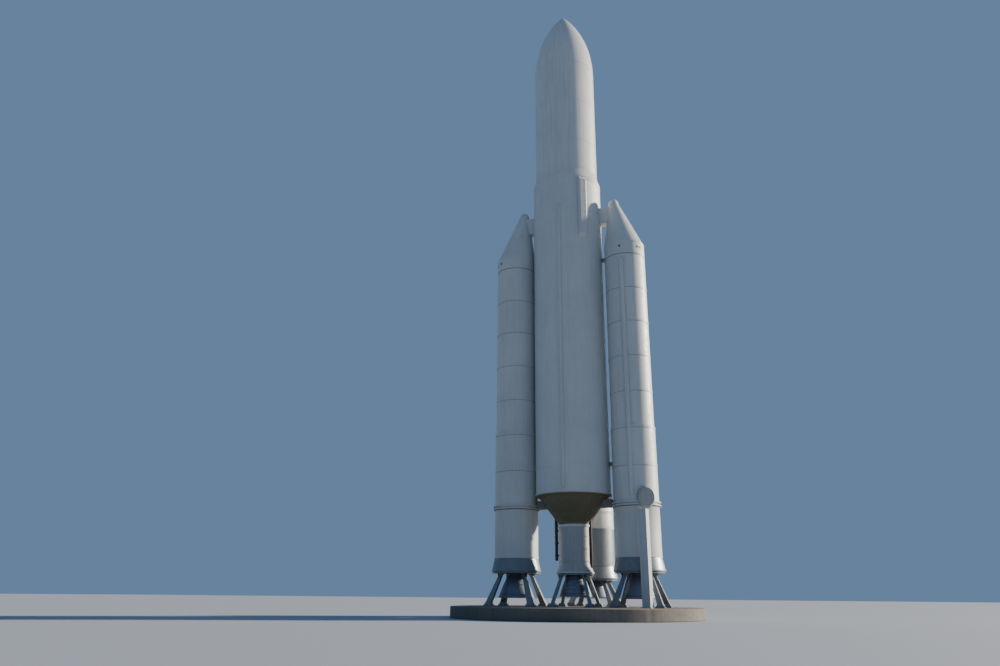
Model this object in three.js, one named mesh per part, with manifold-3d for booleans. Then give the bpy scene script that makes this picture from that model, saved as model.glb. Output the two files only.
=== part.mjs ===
// A heavy launch rocket with two strap-on boosters, shown upright on a round concrete plinth.
// Scale model at one half of the real size. Millimetres, +Z up, origin at the centre of the
// plinth's underside. +X points to the right booster and -Y to the front.

import * as THREE from 'three';
import { mergeVertices } from 'three/addons/utils/BufferGeometryUtils.js';
import Module from 'manifold-3d';

const wasm = await Module();
wasm.setup();

// Driving dimensions, given as the real rocket's metres and turned into the model's millimetres.
const MODEL_SCALE = 0.5;
const full = (metres) => metres * 1000 * MODEL_SCALE;
const degrees = THREE.MathUtils.degToRad;

// Round bodies have this many sides, and what is cut to their curve is cut by a finer one.
const SIDES_ROUND = 40;
const FINE_SIDES = 192;

// Air left between neighbouring pieces, and the distance at which two corners count as one, in
// the model's own millimetres.
const GAP = 0.3;
const WELD_DISTANCE = 1e-3;

// How far a cutting tool runs on past what it cuts.
const OVERSHOOT = full(1);

const PLINTH = { radius: full(8.65), height: full(0.75), sides: 72 };

const CORE = {
  radius: full(2.7),
  bottom: full(8.2),
  skirtTop: full(10.16),
  tankTop: full(30.1),
  top: full(33.0),
  rimProud: full(0.04),
  rimHeight: full(0.14),
};

const FAIRING = {
  radius: full(2.5),
  bottom: full(33.9),
  ogiveBottom: full(44.13),
  ogiveLength: full(6.5),
  tipRadius: full(0.25),
  wall: full(0.08),
  outerSteps: 7,
  innerSteps: 5,
};

const CONE = { topRadius: full(2.5), bottomRadius: full(1.15), bottom: full(6.4), flange: full(0.15) };

const SHROUD = {
  radius: full(1.1),
  wall: full(0.05),
  flareTop: full(3.6),
  rimRadius: full(1.31),
  bottom: full(2.95),
  top: CONE.bottom - CONE.flange,
};

// The feed pipes beside the shroud: a dark one that stands off it, and a pale one close to it.
const PIPES = [
  { x: full(-1.32), radius: full(0.1), bottom: full(3.8), top: full(6.8) },
  { x: full(1.17), radius: full(0.1), bottom: full(3.3), top: full(6.6) },
];
const PIPE_SIDES = 12;
const PIPE_BRACKETS = { heights: [full(4.1), full(4.95), full(5.8)], width: full(0.12), height: full(0.1) };

// The left booster stands a little nearer to the core than the right one does.
const SIDES = [
  { name: 'left', sign: -1, offset: full(4.33) },
  { name: 'right', sign: 1, offset: full(4.5) },
];

const BOOSTER = {
  aftRadius: full(1.57),
  radius: full(1.525),
  skirtRimRadius: full(1.77),
  skirtBottom: full(3.06),
  skirtTop: full(3.95),
  skirtWall: full(0.07),
  recessRadius: full(1.3),
  recessTop: full(4.75),
  ringBottom: full(7.35),
  ringTop: full(7.65),
  ringRadius: full(1.7),
  lowerTop: full(12.81),
  middleTop: full(20.79),
  noseBottom: full(26.1),
};

const BOOSTER_SIDES = 32;
const BOOSTER_CASES = [
  { part: 'lower', radius: BOOSTER.aftRadius, bottom: BOOSTER.ringTop, top: BOOSTER.lowerTop },
  { part: 'middle', radius: BOOSTER.radius, bottom: BOOSTER.lowerTop, top: BOOSTER.middleTop },
  { part: 'upper', radius: BOOSTER.radius, bottom: BOOSTER.middleTop, top: BOOSTER.noseBottom },
];

// The booster's nose leans toward the core: its centre line shifts as the cone narrows.
const NOSE = {
  coneBottom: full(27.2),
  coneTop: full(31.1),
  topRadius: full(0.4),
  capHeight: full(0.45),
  lean: full(0.68),
};

// An oval drum with a bevelled rim, on the front right of each booster as seen from outside.
const POD = {
  halfWidth: full(0.61),
  halfHeight: full(0.74),
  depth: full(0.38),
  bevel: full(0.1),
  root: full(0.2),
  sides: 24,
  height: full(7.85),
  azimuth: 33,
};

// An upright square duct in front of the right booster, from the plinth up to the pod.
const TRUNK = {
  x: full(0.79),
  y: full(-2.04),
  width: full(0.56),
  turn: -12,
  top: full(7.0),
  bracketHeights: [full(4.4), full(5.6), full(6.7)],
  bracketEnd: full(-1),
  bracketWidth: full(0.24),
  bracketThickness: full(0.1),
};

// Each engine swings on a gimbal ring: the ring turns in the mount's lugs, and the nozzle turns
// in the ring, about an axis square to the first. Both axes lie halfway between X and Y, in line
// with the stand's legs.
const GIMBAL = {
  turn: Math.PI / 4,
  ringInner: full(0.62),
  ringOuter: full(0.78),
  ringHeight: full(0.16),
  sides: 32,
  pinRoot: full(0.03),
  pinRadius: full(0.05),
  holeRadius: full(0.054),
  pinEnd: full(0.93),
  nozzlePinEnd: full(0.8),
  lugInner: full(0.8),
  lugThickness: full(0.12),
  lugWidth: full(0.3),
  lugDrop: full(0.2),
  plateRadius: full(1.0),
  plateThickness: full(0.12),
  neckRadius: full(0.5),
  neckRise: full(0.22),
  neckDrop: full(0.24),
};

const MAIN_BELL = {
  pivot: full(3.8),
  ceiling: full(4.7),
  throat: full(3.3),
  throatRadius: full(0.34),
  exit: full(1.4),
  exitRadius: full(1.1),
};
const BOOSTER_BELL = {
  pivot: full(3.75),
  ceiling: BOOSTER.recessTop,
  throat: full(3.2),
  throatRadius: full(0.36),
  exit: full(1.3),
  exitRadius: full(1.25),
};
const ENGINES = [
  { name: 'main', x: 0, ...MAIN_BELL },
  ...SIDES.map(({ name, sign, offset }) => ({ name, x: sign * offset, ...BOOSTER_BELL })),
];
const BELL_WALL = full(0.05);
const BELL_CURVE = 1.25;
const BELL_CEILING_RISE = full(0.03);
const BELL_STEPS = 5;
const BELL_SIDES = 28;

const ENGINE_BLOCK = { radius: full(0.8), bottom: MAIN_BELL.ceiling, top: SHROUD.top - GAP, sides: 24 };

const COLUMN = {
  y: full(5.9),
  radius: full(1.57),
  rimRadius: full(1.77),
  bottom: full(2.7),
  flareTop: full(3.6),
  baseTop: full(6.35),
  top: full(8.2),
  coneTopRadius: full(0.6),
  coneRadius: full(1.15),
  coneBottom: full(1.35),
};

// One stand holds each of the four vertical bodies: a ring on four splayed legs with foot plates.
const STAND = {
  ringHeight: full(0.12),
  legTopWidth: full(0.26),
  legBottomWidth: full(0.34),
  legSink: full(0.1),
  footTop: full(0.98),
  footWidth: full(0.62),
};
const NARROW_RING = { inner: full(0.88), outer: full(1.3), legRadius: full(1.05), footRadius: full(1.85) };
const WIDE_RING = { inner: full(0.98), outer: full(1.74), legRadius: full(1.15), footRadius: full(2.15) };
const STANDS = [
  { name: 'stand_centre', x: 0, y: 0, top: SHROUD.bottom, ...NARROW_RING },
  ...SIDES.map(({ name, sign, offset }) =>
    ({ name: `stand_${name}`, x: sign * offset, y: 0, top: BOOSTER.skirtBottom, ...WIDE_RING })),
  { name: 'stand_rear', x: 0, y: COLUMN.y, top: COLUMN.bottom, ...WIDE_RING },
];

// Cable ducts: degrees round the core from its front, width, height above the skin and the span.
const RACEWAYS = {
  core: [
    {
      name: 'core_front_raceway',
      azimuth: 0,
      width: full(0.26),
      proud: full(0.14),
      bottom: full(8.45),
      top: full(30.5),
    },
    {
      name: 'core_side_raceway',
      azimuth: 40,
      width: full(0.7),
      proud: full(0.3),
      bottom: full(27.6),
      top: full(32.9),
    },
  ],
  booster: { width: full(0.3), proud: full(0.16), bottom: full(7.9), top: full(25.8) },
};

// What joins each booster to the core: heights, width, and how far it reaches short of the
// booster's centre line before the booster's curve is cut out of it.
const TIES = {
  forward: { bottom: full(29.48), top: full(30.83), width: full(0.7), short: full(0.6) },
  middle: {
    bottom: full(26.25),
    top: full(26.5),
    width: full(0.3),
    short: full(1),
    boosterRadius: BOOSTER.radius,
  },
  lower: {
    bottom: full(10.3),
    top: full(10.55),
    width: full(0.3),
    short: full(1),
    boosterRadius: BOOSTER.aftRadius,
  },
};
const AFT_STRUT = { bottom: full(7.38), top: full(7.95), width: full(0.62), inner: full(1.6) };

const material = (color, roughness, metalness = 0) =>
  new THREE.MeshStandardMaterial({ color, roughness, metalness });
const MATERIALS = {
  coreWhite: material(0xdfe2e2, 0.45),
  boosterWhite: material(0xe2e3e0, 0.5),
  fairingWhite: material(0xe4e6e6, 0.4),
  skirtGrey: material(0x7d8084, 0.55),
  coneDark: material(0x3a3833, 0.7),
  nozzle: material(0x3b4250, 0.45, 0.6),
  raceway: material(0xc9cccb, 0.5),
  stand: material(0xc4c5c1, 0.5),
  gimbal: material(0x5d6064, 0.4, 0.7),
  concrete: material(0x9b968c, 0.9),
};

const rocket = new THREE.Group();

function addPiece(name, geometry, pieceMaterial, x = 0, y = 0, turn = 0) {
  const mesh = new THREE.Mesh(geometry, pieceMaterial);
  mesh.name = name;
  mesh.position.set(x, y, 0);
  mesh.rotation.z = turn;
  rocket.add(mesh);
  return mesh;
}

// A body turned about Z from [radius, height] points that run up the outside.
function turned(points, sides = SIDES_ROUND) {
  const profile = points.map(([radius, height]) => new THREE.Vector2(radius, height));
  return new THREE.LatheGeometry(profile, sides).rotateX(Math.PI / 2);
}

// A closed ring: the four corners of its section, given as inner, outer, bottom and top.
function ring(inner, outer, bottom, top, sides = SIDES_ROUND) {
  return turned([[inner, bottom], [outer, bottom], [outer, top], [inner, top], [inner, bottom]], sides);
}

function cylinder(radius, bottom, top, sides = SIDES_ROUND) {
  return turned([[0, bottom], [radius, bottom], [radius, top], [0, top]], sides);
}

function block(width, depth, bottom, top) {
  return new THREE.BoxGeometry(width, depth, top - bottom).translate(0, 0, (bottom + top) / 2);
}

// A pin along X from one radius to another.
function pin(radius, from, to, height, sides = 16) {
  return new THREE.CylinderGeometry(radius, radius, to - from, sides)
    .rotateZ(-Math.PI / 2)
    .translate((from + to) / 2, 0, height);
}

function solid(geometry) {
  const bare = geometry.index ? geometry.toNonIndexed() : geometry.clone();
  bare.deleteAttribute('normal');
  bare.deleteAttribute('uv');
  const merged = mergeVertices(bare, WELD_DISTANCE);
  const triVerts = [];
  for (let i = 0; i < merged.index.count; i += 3) {
    const [a, b, c] = [0, 1, 2].map((corner) => merged.index.getX(i + corner));
    if (a !== b && b !== c && c !== a) triVerts.push(a, b, c);
  }
  const mesh = new wasm.Mesh({
    numProp: 3,
    vertProperties: new Float32Array(merged.attributes.position.array),
    triVerts: new Uint32Array(triVerts),
  });
  return new wasm.Manifold(mesh);
}

function surface(body) {
  const mesh = body.getMesh();
  const geometry = new THREE.BufferGeometry();
  geometry.setAttribute('position', new THREE.BufferAttribute(mesh.vertProperties, 3));
  geometry.setIndex(new THREE.BufferAttribute(mesh.triVerts, 1));
  geometry.computeVertexNormals();
  return geometry;
}

const joined = (geometries) => geometries.map(solid).reduce((all, next) => all.add(next));
const cut = (body, tools) => tools.map(solid).reduce((left, tool) => left.subtract(tool), body);

// Plinth
addPiece('concrete_plinth', cylinder(PLINTH.radius, 0, PLINTH.height, PLINTH.sides), MATERIALS.concrete);

// Core stage
addPiece('core_aft_skirt', turned([
  [0, CORE.bottom],
  [CORE.radius + CORE.rimProud, CORE.bottom],
  [CORE.radius + CORE.rimProud, CORE.bottom + CORE.rimHeight],
  [CORE.radius, CORE.bottom + CORE.rimHeight],
  [CORE.radius, CORE.skirtTop - GAP],
  [0, CORE.skirtTop - GAP],
]), MATERIALS.coreWhite);
addPiece('core_main_tank', cylinder(CORE.radius, CORE.skirtTop, CORE.tankTop - GAP), MATERIALS.coreWhite);
addPiece('core_forward_skirt', cylinder(CORE.radius, CORE.tankTop, CORE.top - GAP), MATERIALS.coreWhite);
addPiece('fairing_adapter', turned([
  [0, CORE.top],
  [CORE.radius, CORE.top],
  [FAIRING.radius, FAIRING.bottom - GAP],
  [0, FAIRING.bottom - GAP],
]), MATERIALS.fairingWhite);

// Payload fairing: a tangent ogive with a rounded tip, hollow, in a front and a rear half shell
function ogivePoints(radius, length, tipRadius, base, steps) {
  const arc = (radius ** 2 + length ** 2) / (2 * radius);
  const tipCentre = length - Math.sqrt((arc - tipRadius) ** 2 - (arc - radius) ** 2);
  const touchRadius = (tipRadius * (arc - radius)) / (arc - tipRadius);
  const touch = tipCentre - Math.sqrt(tipRadius ** 2 - touchRadius ** 2);
  const points = [];
  for (let i = 0; i <= steps; i += 1) {
    const fromTip = length + (touch - length) * (i / steps);
    const r = Math.sqrt(arc ** 2 - (length - fromTip) ** 2) + radius - arc;
    points.push([r, base + length - fromTip]);
  }
  const startAngle = Math.asin(touchRadius / tipRadius);
  const tipSteps = 3;
  for (let i = 1; i <= tipSteps; i += 1) {
    const angle = startAngle * (1 - i / tipSteps);
    points.push([tipRadius * Math.sin(angle), base + length - tipCentre + tipRadius * Math.cos(angle)]);
  }
  points[points.length - 1][0] = 0;
  return points;
}
const outerOgive = ogivePoints(
  FAIRING.radius,
  FAIRING.ogiveLength,
  FAIRING.tipRadius,
  FAIRING.ogiveBottom,
  FAIRING.outerSteps,
);
const innerOgive = ogivePoints(
  FAIRING.radius - FAIRING.wall,
  FAIRING.ogiveLength - FAIRING.wall,
  FAIRING.tipRadius,
  FAIRING.ogiveBottom,
  FAIRING.innerSteps,
);
const fairing = solid(turned([
  ...innerOgive.reverse(),
  [FAIRING.radius - FAIRING.wall, FAIRING.bottom],
  [FAIRING.radius, FAIRING.bottom],
  ...outerOgive,
]));
const fairingTop = FAIRING.ogiveBottom + FAIRING.ogiveLength;
const halfDepth = 2 * FAIRING.radius;
for (const [name, sign] of [['fairing_front_half', -1], ['fairing_rear_half', 1]]) {
  const halfSpace = block(2 * halfDepth, halfDepth, FAIRING.bottom - OVERSHOOT, fairingTop + OVERSHOOT)
    .translate(0, sign * (halfDepth / 2 + GAP / 2), 0);
  addPiece(name, surface(fairing.intersect(solid(halfSpace))), MATERIALS.fairingWhite);
}

// Core raceways: a box whose back is cut to the curve of what carries it
function racewayOn(carrier, radius, { width, proud, bottom, top }) {
  const box = block(width, 2 * proud, bottom, top).translate(0, -radius, 0);
  return surface(cut(solid(box), [carrier]));
}
const coreWithAir = cylinder(CORE.radius + GAP, CORE.bottom, CORE.top, FINE_SIDES);
for (const raceway of RACEWAYS.core) {
  const geometry = racewayOn(coreWithAir, CORE.radius, raceway);
  addPiece(raceway.name, geometry, MATERIALS.raceway, 0, 0, degrees(raceway.azimuth));
}

// Thrust cone, engine shroud with its two pipes, and the engine block inside it
const conePoints = (drop) => [
  [0, CONE.bottom - CONE.flange - drop],
  [SHROUD.radius, CONE.bottom - CONE.flange - drop],
  [SHROUD.radius, CONE.bottom - drop],
  [CONE.bottomRadius, CONE.bottom - drop],
  [CONE.topRadius, CORE.bottom - GAP - drop],
  [0, CORE.bottom - GAP - drop],
];
addPiece('thrust_cone', turned(conePoints(0)), MATERIALS.coneDark);
const shroudTube = turned([
  [SHROUD.radius - SHROUD.wall, SHROUD.flareTop],
  [SHROUD.rimRadius - SHROUD.wall, SHROUD.bottom],
  [SHROUD.rimRadius, SHROUD.bottom],
  [SHROUD.radius, SHROUD.flareTop],
  [SHROUD.radius, SHROUD.top - GAP],
  [SHROUD.radius - SHROUD.wall, SHROUD.top - GAP],
  [SHROUD.radius - SHROUD.wall, SHROUD.flareTop],
]);
function pipeBracket(pipeX, bottom) {
  const inner = SHROUD.radius - SHROUD.wall;
  const { width, height } = PIPE_BRACKETS;
  return block(Math.abs(pipeX) - inner, width, bottom, bottom + height)
    .translate((pipeX + Math.sign(pipeX) * inner) / 2, 0, 0);
}
const pipes = PIPES.flatMap(({ x, radius, bottom, top }) => [
  cylinder(radius, bottom, top, PIPE_SIDES).translate(x, 0, 0),
  ...PIPE_BRACKETS.heights.map((height) => pipeBracket(x, height)),
]);
const shroudBore = cylinder(SHROUD.radius - SHROUD.wall, SHROUD.flareTop, SHROUD.top + OVERSHOOT);
const CONE_CLEARANCE = 0.8;
addPiece(
  'engine_shroud',
  surface(cut(joined([shroudTube, ...pipes]), [shroudBore, turned(conePoints(CONE_CLEARANCE))])),
  MATERIALS.stand,
);
addPiece(
  'engine_block',
  cylinder(ENGINE_BLOCK.radius, ENGINE_BLOCK.bottom, ENGINE_BLOCK.top, ENGINE_BLOCK.sides),
  MATERIALS.gimbal,
);

// Gimbal mounts, gimbal rings and nozzles
const holesAlongX = (height) =>
  pin(GIMBAL.holeRadius, -2 * GIMBAL.plateRadius, 2 * GIMBAL.plateRadius, height);
function gimbalMount({ pivot, ceiling }) {
  const plateBottom = ceiling - GAP - GIMBAL.plateThickness;
  const plate = cylinder(GIMBAL.plateRadius, plateBottom, ceiling - GAP, GIMBAL.sides);
  const lugs = SIDES.map(({ sign }) =>
    block(GIMBAL.lugThickness, GIMBAL.lugWidth, pivot - GIMBAL.lugDrop, ceiling - GIMBAL.plateThickness)
      .translate(sign * (GIMBAL.lugInner + GIMBAL.lugThickness / 2), 0, 0));
  return surface(cut(joined([plate, ...lugs]), [holesAlongX(pivot)]));
}
function gimbalRing({ pivot }) {
  const halfHeight = GIMBAL.ringHeight / 2;
  const { ringInner, ringOuter, sides } = GIMBAL;
  const hoop = ring(ringInner, ringOuter, pivot - halfHeight, pivot + halfHeight, sides);
  const pinStart = ringOuter - GIMBAL.pinRoot;
  const pins = SIDES.map(({ sign }) =>
    pin(GIMBAL.pinRadius, pinStart, GIMBAL.pinEnd, pivot).rotateZ(sign > 0 ? 0 : Math.PI));
  const holesAlongY = holesAlongX(pivot).rotateZ(Math.PI / 2);
  return surface(cut(joined([hoop]), [holesAlongY]).add(joined(pins)));
}
function bellPoints({ throat, throatRadius, exit, exitRadius }, thickness, steps) {
  const points = [];
  for (let i = 0; i <= steps; i += 1) {
    const down = i / steps;
    const spread = 1 - (1 - down) ** BELL_CURVE;
    points.push([
      throatRadius + thickness + (exitRadius - BELL_WALL - throatRadius) * spread,
      throat + (exit - throat) * down,
    ]);
  }
  return points;
}
function nozzle(engine) {
  const { pivot, throat, throatRadius } = engine;
  const bell = turned([
    [0, throat + BELL_CEILING_RISE],
    ...bellPoints(engine, 0, BELL_STEPS),
    ...bellPoints(engine, BELL_WALL, BELL_STEPS).reverse(),
    [throatRadius + BELL_WALL, throat + BELL_WALL],
    [GIMBAL.neckRadius, pivot - GIMBAL.neckDrop],
    [GIMBAL.neckRadius, pivot + GIMBAL.neckRise],
    [0, pivot + GIMBAL.neckRise],
  ], BELL_SIDES);
  const pins = pin(GIMBAL.pinRadius, -GIMBAL.nozzlePinEnd, GIMBAL.nozzlePinEnd, pivot).rotateZ(Math.PI / 2);
  return surface(joined([bell, pins]));
}
for (const engine of ENGINES) {
  const { name, x } = engine;
  addPiece(`${name}_gimbal_mount`, gimbalMount(engine), MATERIALS.gimbal, x, 0, GIMBAL.turn);
  addPiece(`${name}_gimbal_ring`, gimbalRing(engine), MATERIALS.gimbal, x, 0, GIMBAL.turn);
  addPiece(`${name}_nozzle`, nozzle(engine), MATERIALS.nozzle, x, 0, GIMBAL.turn);
}

// Boosters: the right one, and the left one as the same body turned half round the core
function noseGeometry() {
  const points = [
    [0, BOOSTER.noseBottom],
    [BOOSTER.radius, BOOSTER.noseBottom],
    [BOOSTER.radius, NOSE.coneBottom],
  ];
  const capSteps = 4;
  for (let i = 0; i <= capSteps; i += 1) {
    const angle = (i / capSteps) * (Math.PI / 2);
    points.push([NOSE.topRadius * Math.cos(angle), NOSE.coneTop + NOSE.capHeight * Math.sin(angle)]);
  }
  points[points.length - 1][0] = 0;
  const geometry = turned(points, BOOSTER_SIDES);
  const position = geometry.attributes.position;
  for (let i = 0; i < position.count; i += 1) {
    const climb = (position.getZ(i) - NOSE.coneBottom) / (NOSE.coneTop - NOSE.coneBottom);
    position.setX(i, position.getX(i) - NOSE.lean * THREE.MathUtils.clamp(climb, 0, 1));
  }
  return geometry;
}
const skirtGeometry = () => turned([
  [BOOSTER.skirtRimRadius - BOOSTER.skirtWall, BOOSTER.skirtBottom],
  [BOOSTER.skirtRimRadius, BOOSTER.skirtBottom],
  [BOOSTER.aftRadius, BOOSTER.skirtTop - GAP],
  [BOOSTER.aftRadius - BOOSTER.skirtWall, BOOSTER.skirtTop - GAP],
  [BOOSTER.skirtRimRadius - BOOSTER.skirtWall, BOOSTER.skirtBottom],
], BOOSTER_SIDES);
const aftCaseGeometry = () => turned([
  [0, BOOSTER.recessTop],
  [BOOSTER.recessRadius, BOOSTER.recessTop],
  [BOOSTER.recessRadius, BOOSTER.skirtTop],
  [BOOSTER.aftRadius, BOOSTER.skirtTop],
  [BOOSTER.aftRadius, BOOSTER.ringBottom],
  [BOOSTER.ringRadius, BOOSTER.ringBottom],
  [BOOSTER.ringRadius, BOOSTER.ringTop - GAP],
  [0, BOOSTER.ringTop - GAP],
], BOOSTER_SIDES);
function podGeometry() {
  const drum = turned([
    [0, -POD.root],
    [POD.halfWidth, -POD.root],
    [POD.halfWidth, POD.depth - POD.bevel],
    [POD.halfWidth - POD.bevel, POD.depth],
    [0, POD.depth],
  ], POD.sides)
    .rotateX(Math.PI / 2)
    .scale(1, 1, POD.halfHeight / POD.halfWidth)
    .translate(0, -BOOSTER.aftRadius, POD.height);
  const wall = cylinder(
    BOOSTER.aftRadius + GAP,
    POD.height - OVERSHOOT,
    POD.height + OVERSHOOT,
    FINE_SIDES,
  );
  const flange = cylinder(
    BOOSTER.ringRadius + GAP,
    BOOSTER.ringBottom - GAP,
    BOOSTER.ringTop + GAP,
    FINE_SIDES,
  );
  return surface(cut(solid(drum), [wall, flange]));
}
function tieGeometry({ bottom, top, width, short, boosterRadius }, offset) {
  const reach = offset - short;
  const bar = block(reach, width, bottom, top).translate(reach / 2, 0, 0);
  const core = cylinder(CORE.radius + GAP, bottom - OVERSHOOT, top + OVERSHOOT, FINE_SIDES);
  const booster = cylinder(boosterRadius + GAP, bottom - OVERSHOOT, top + OVERSHOOT, FINE_SIDES)
    .translate(offset, 0, 0);
  return surface(cut(solid(bar), [core, booster]));
}
function forwardTieGeometry(offset) {
  const { bottom, top, width, short } = TIES.forward;
  const reach = offset - short;
  const bar = block(reach, width, bottom, top).translate(reach / 2, 0, 0);
  const core = cylinder(CORE.radius + GAP, bottom - OVERSHOOT, top + OVERSHOOT, FINE_SIDES);
  const noseWithAir = noseGeometry().translate(offset - 2 * GAP, 0, 0);
  return surface(cut(solid(bar), [core, noseWithAir]));
}
// The round wall that an aft strut ends on, as a cutting tool as tall as the strut and more
const strutEnd = (radius) =>
  cylinder(radius + GAP, AFT_STRUT.bottom - OVERSHOOT, AFT_STRUT.top + OVERSHOOT, FINE_SIDES);
function strutGeometry(offset) {
  const length = offset - AFT_STRUT.inner;
  const bar = block(length, AFT_STRUT.width, AFT_STRUT.bottom, AFT_STRUT.top)
    .translate(AFT_STRUT.inner + length / 2, 0, 0);
  const booster = strutEnd(BOOSTER.ringRadius).translate(offset, 0, 0);
  return surface(cut(solid(bar), [booster, turned(conePoints(CONE_CLEARANCE)), turned(conePoints(0))]));
}
const casesWithAir = () => turned([
  [0, BOOSTER.ringTop],
  [BOOSTER.aftRadius + GAP, BOOSTER.ringTop],
  [BOOSTER.aftRadius + GAP, BOOSTER.lowerTop + GAP],
  [BOOSTER.radius + GAP, BOOSTER.lowerTop + GAP],
  [BOOSTER.radius + GAP, BOOSTER.noseBottom],
  [0, BOOSTER.noseBottom],
], FINE_SIDES);
for (const { name, sign, offset } of SIDES) {
  const turn = sign > 0 ? 0 : Math.PI;
  const x = sign * offset;
  addPiece(`${name}_booster_skirt`, skirtGeometry(), MATERIALS.skirtGrey, x, 0, turn);
  addPiece(`${name}_booster_aft_case`, aftCaseGeometry(), MATERIALS.boosterWhite, x, 0, turn);
  for (const { part, radius, bottom, top } of BOOSTER_CASES) {
    const casing = cylinder(radius, bottom, top - GAP, BOOSTER_SIDES);
    addPiece(`${name}_booster_${part}_case`, casing, MATERIALS.boosterWhite, x, 0, turn);
  }
  addPiece(`${name}_booster_nose`, noseGeometry(), MATERIALS.boosterWhite, x, 0, turn);
  const raceway = racewayOn(casesWithAir(), BOOSTER.aftRadius, RACEWAYS.booster);
  addPiece(`${name}_booster_raceway`, raceway, MATERIALS.raceway, x, 0, turn);
  addPiece(`${name}_booster_pod`, podGeometry(), MATERIALS.skirtGrey, x, 0, turn + degrees(POD.azimuth));
  addPiece(`${name}_forward_attachment`, forwardTieGeometry(offset), MATERIALS.boosterWhite, 0, 0, turn);
  addPiece(`${name}_middle_tie`, tieGeometry(TIES.middle, offset), MATERIALS.gimbal, 0, 0, turn);
  addPiece(`${name}_lower_tie`, tieGeometry(TIES.lower, offset), MATERIALS.gimbal, 0, 0, turn);
  addPiece(`${name}_aft_strut`, strutGeometry(offset), MATERIALS.coneDark, 0, 0, turn);
}

// The trunk in front of the right booster, held by brackets cut to the aft case
const trunkPost = block(TRUNK.width, TRUNK.width, PLINTH.height + GAP, TRUNK.top)
  .rotateZ(degrees(TRUNK.turn))
  .translate(TRUNK.x, TRUNK.y, 0);
const trunkBrackets = TRUNK.bracketHeights.map((height) =>
  block(TRUNK.bracketWidth, TRUNK.bracketEnd - TRUNK.y, height, height + TRUNK.bracketThickness)
    .translate(TRUNK.x, (TRUNK.y + TRUNK.bracketEnd) / 2, 0));
const aftCaseWithAir = cylinder(
  BOOSTER.aftRadius + GAP,
  TRUNK.bracketHeights[0] - OVERSHOOT,
  TRUNK.top + OVERSHOOT,
  FINE_SIDES,
);
const rightBooster = SIDES[1];
addPiece(
  'cable_trunk',
  surface(cut(joined([trunkPost, ...trunkBrackets]), [aftCaseWithAir])),
  MATERIALS.raceway,
  rightBooster.sign * rightBooster.offset,
);

// Rear support column, a grey base with a white case on it, a closed cone under it, and the strut
// to the thrust cone
addPiece('rear_column_base', turned([
  [0, COLUMN.bottom],
  [COLUMN.rimRadius, COLUMN.bottom],
  [COLUMN.radius, COLUMN.flareTop],
  [COLUMN.radius, COLUMN.baseTop - GAP],
  [0, COLUMN.baseTop - GAP],
], BOOSTER_SIDES), MATERIALS.skirtGrey, 0, COLUMN.y);
const columnCase = cylinder(COLUMN.radius, COLUMN.baseTop, COLUMN.top, BOOSTER_SIDES);
addPiece('rear_column_case', columnCase, MATERIALS.boosterWhite, 0, COLUMN.y);
addPiece('rear_column_cone', turned([
  [0, COLUMN.coneBottom],
  [COLUMN.coneRadius, COLUMN.coneBottom],
  [COLUMN.coneTopRadius, COLUMN.bottom - GAP],
  [0, COLUMN.bottom - GAP],
], BELL_SIDES), MATERIALS.nozzle, 0, COLUMN.y);
const rearLength = COLUMN.y - AFT_STRUT.inner;
const rearBar = block(AFT_STRUT.width, rearLength, AFT_STRUT.bottom, AFT_STRUT.top)
  .translate(0, AFT_STRUT.inner + rearLength / 2, 0);
const columnWithAir = strutEnd(COLUMN.radius).translate(0, COLUMN.y, 0);
addPiece(
  'rear_strut',
  surface(cut(solid(rearBar), [columnWithAir, turned(conePoints(CONE_CLEARANCE)), turned(conePoints(0))])),
  MATERIALS.coneDark,
);

// Stands
function leg(topRadius, topHeight, footRadius) {
  const geometry = new THREE.BoxGeometry(1, 1, 1);
  const position = geometry.attributes.position;
  for (let i = 0; i < position.count; i += 1) {
    const atTop = position.getZ(i) > 0;
    const width = atTop ? STAND.legTopWidth : STAND.legBottomWidth;
    const centre = atTop ? topRadius : footRadius;
    position.setXYZ(
      i,
      centre + position.getX(i) * width,
      position.getY(i) * width,
      atTop ? topHeight : STAND.footTop - STAND.legSink,
    );
  }
  return geometry;
}
for (const { name, x, y, top, inner, outer, legRadius, footRadius } of STANDS) {
  const pieces = [ring(inner, outer, top - GAP - STAND.ringHeight, top - GAP)];
  for (let quarter = 0; quarter < 4; quarter += 1) {
    const turn = Math.PI / 4 + (quarter * Math.PI) / 2;
    const foot = block(STAND.footWidth, STAND.footWidth, PLINTH.height + GAP, STAND.footTop)
      .translate(footRadius, 0, 0);
    const upright = leg(legRadius, top - STAND.ringHeight / 2, footRadius);
    pieces.push(upright.rotateZ(turn), foot.rotateZ(turn));
  }
  addPiece(name, surface(joined(pieces)), MATERIALS.stand, x, y);
}

export default rocket;
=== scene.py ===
# A heavy launch rocket with two boosters, upright on its round concrete plinth, at half size.
import math

import bmesh
import bpy
from mathutils import Matrix, Vector


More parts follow.
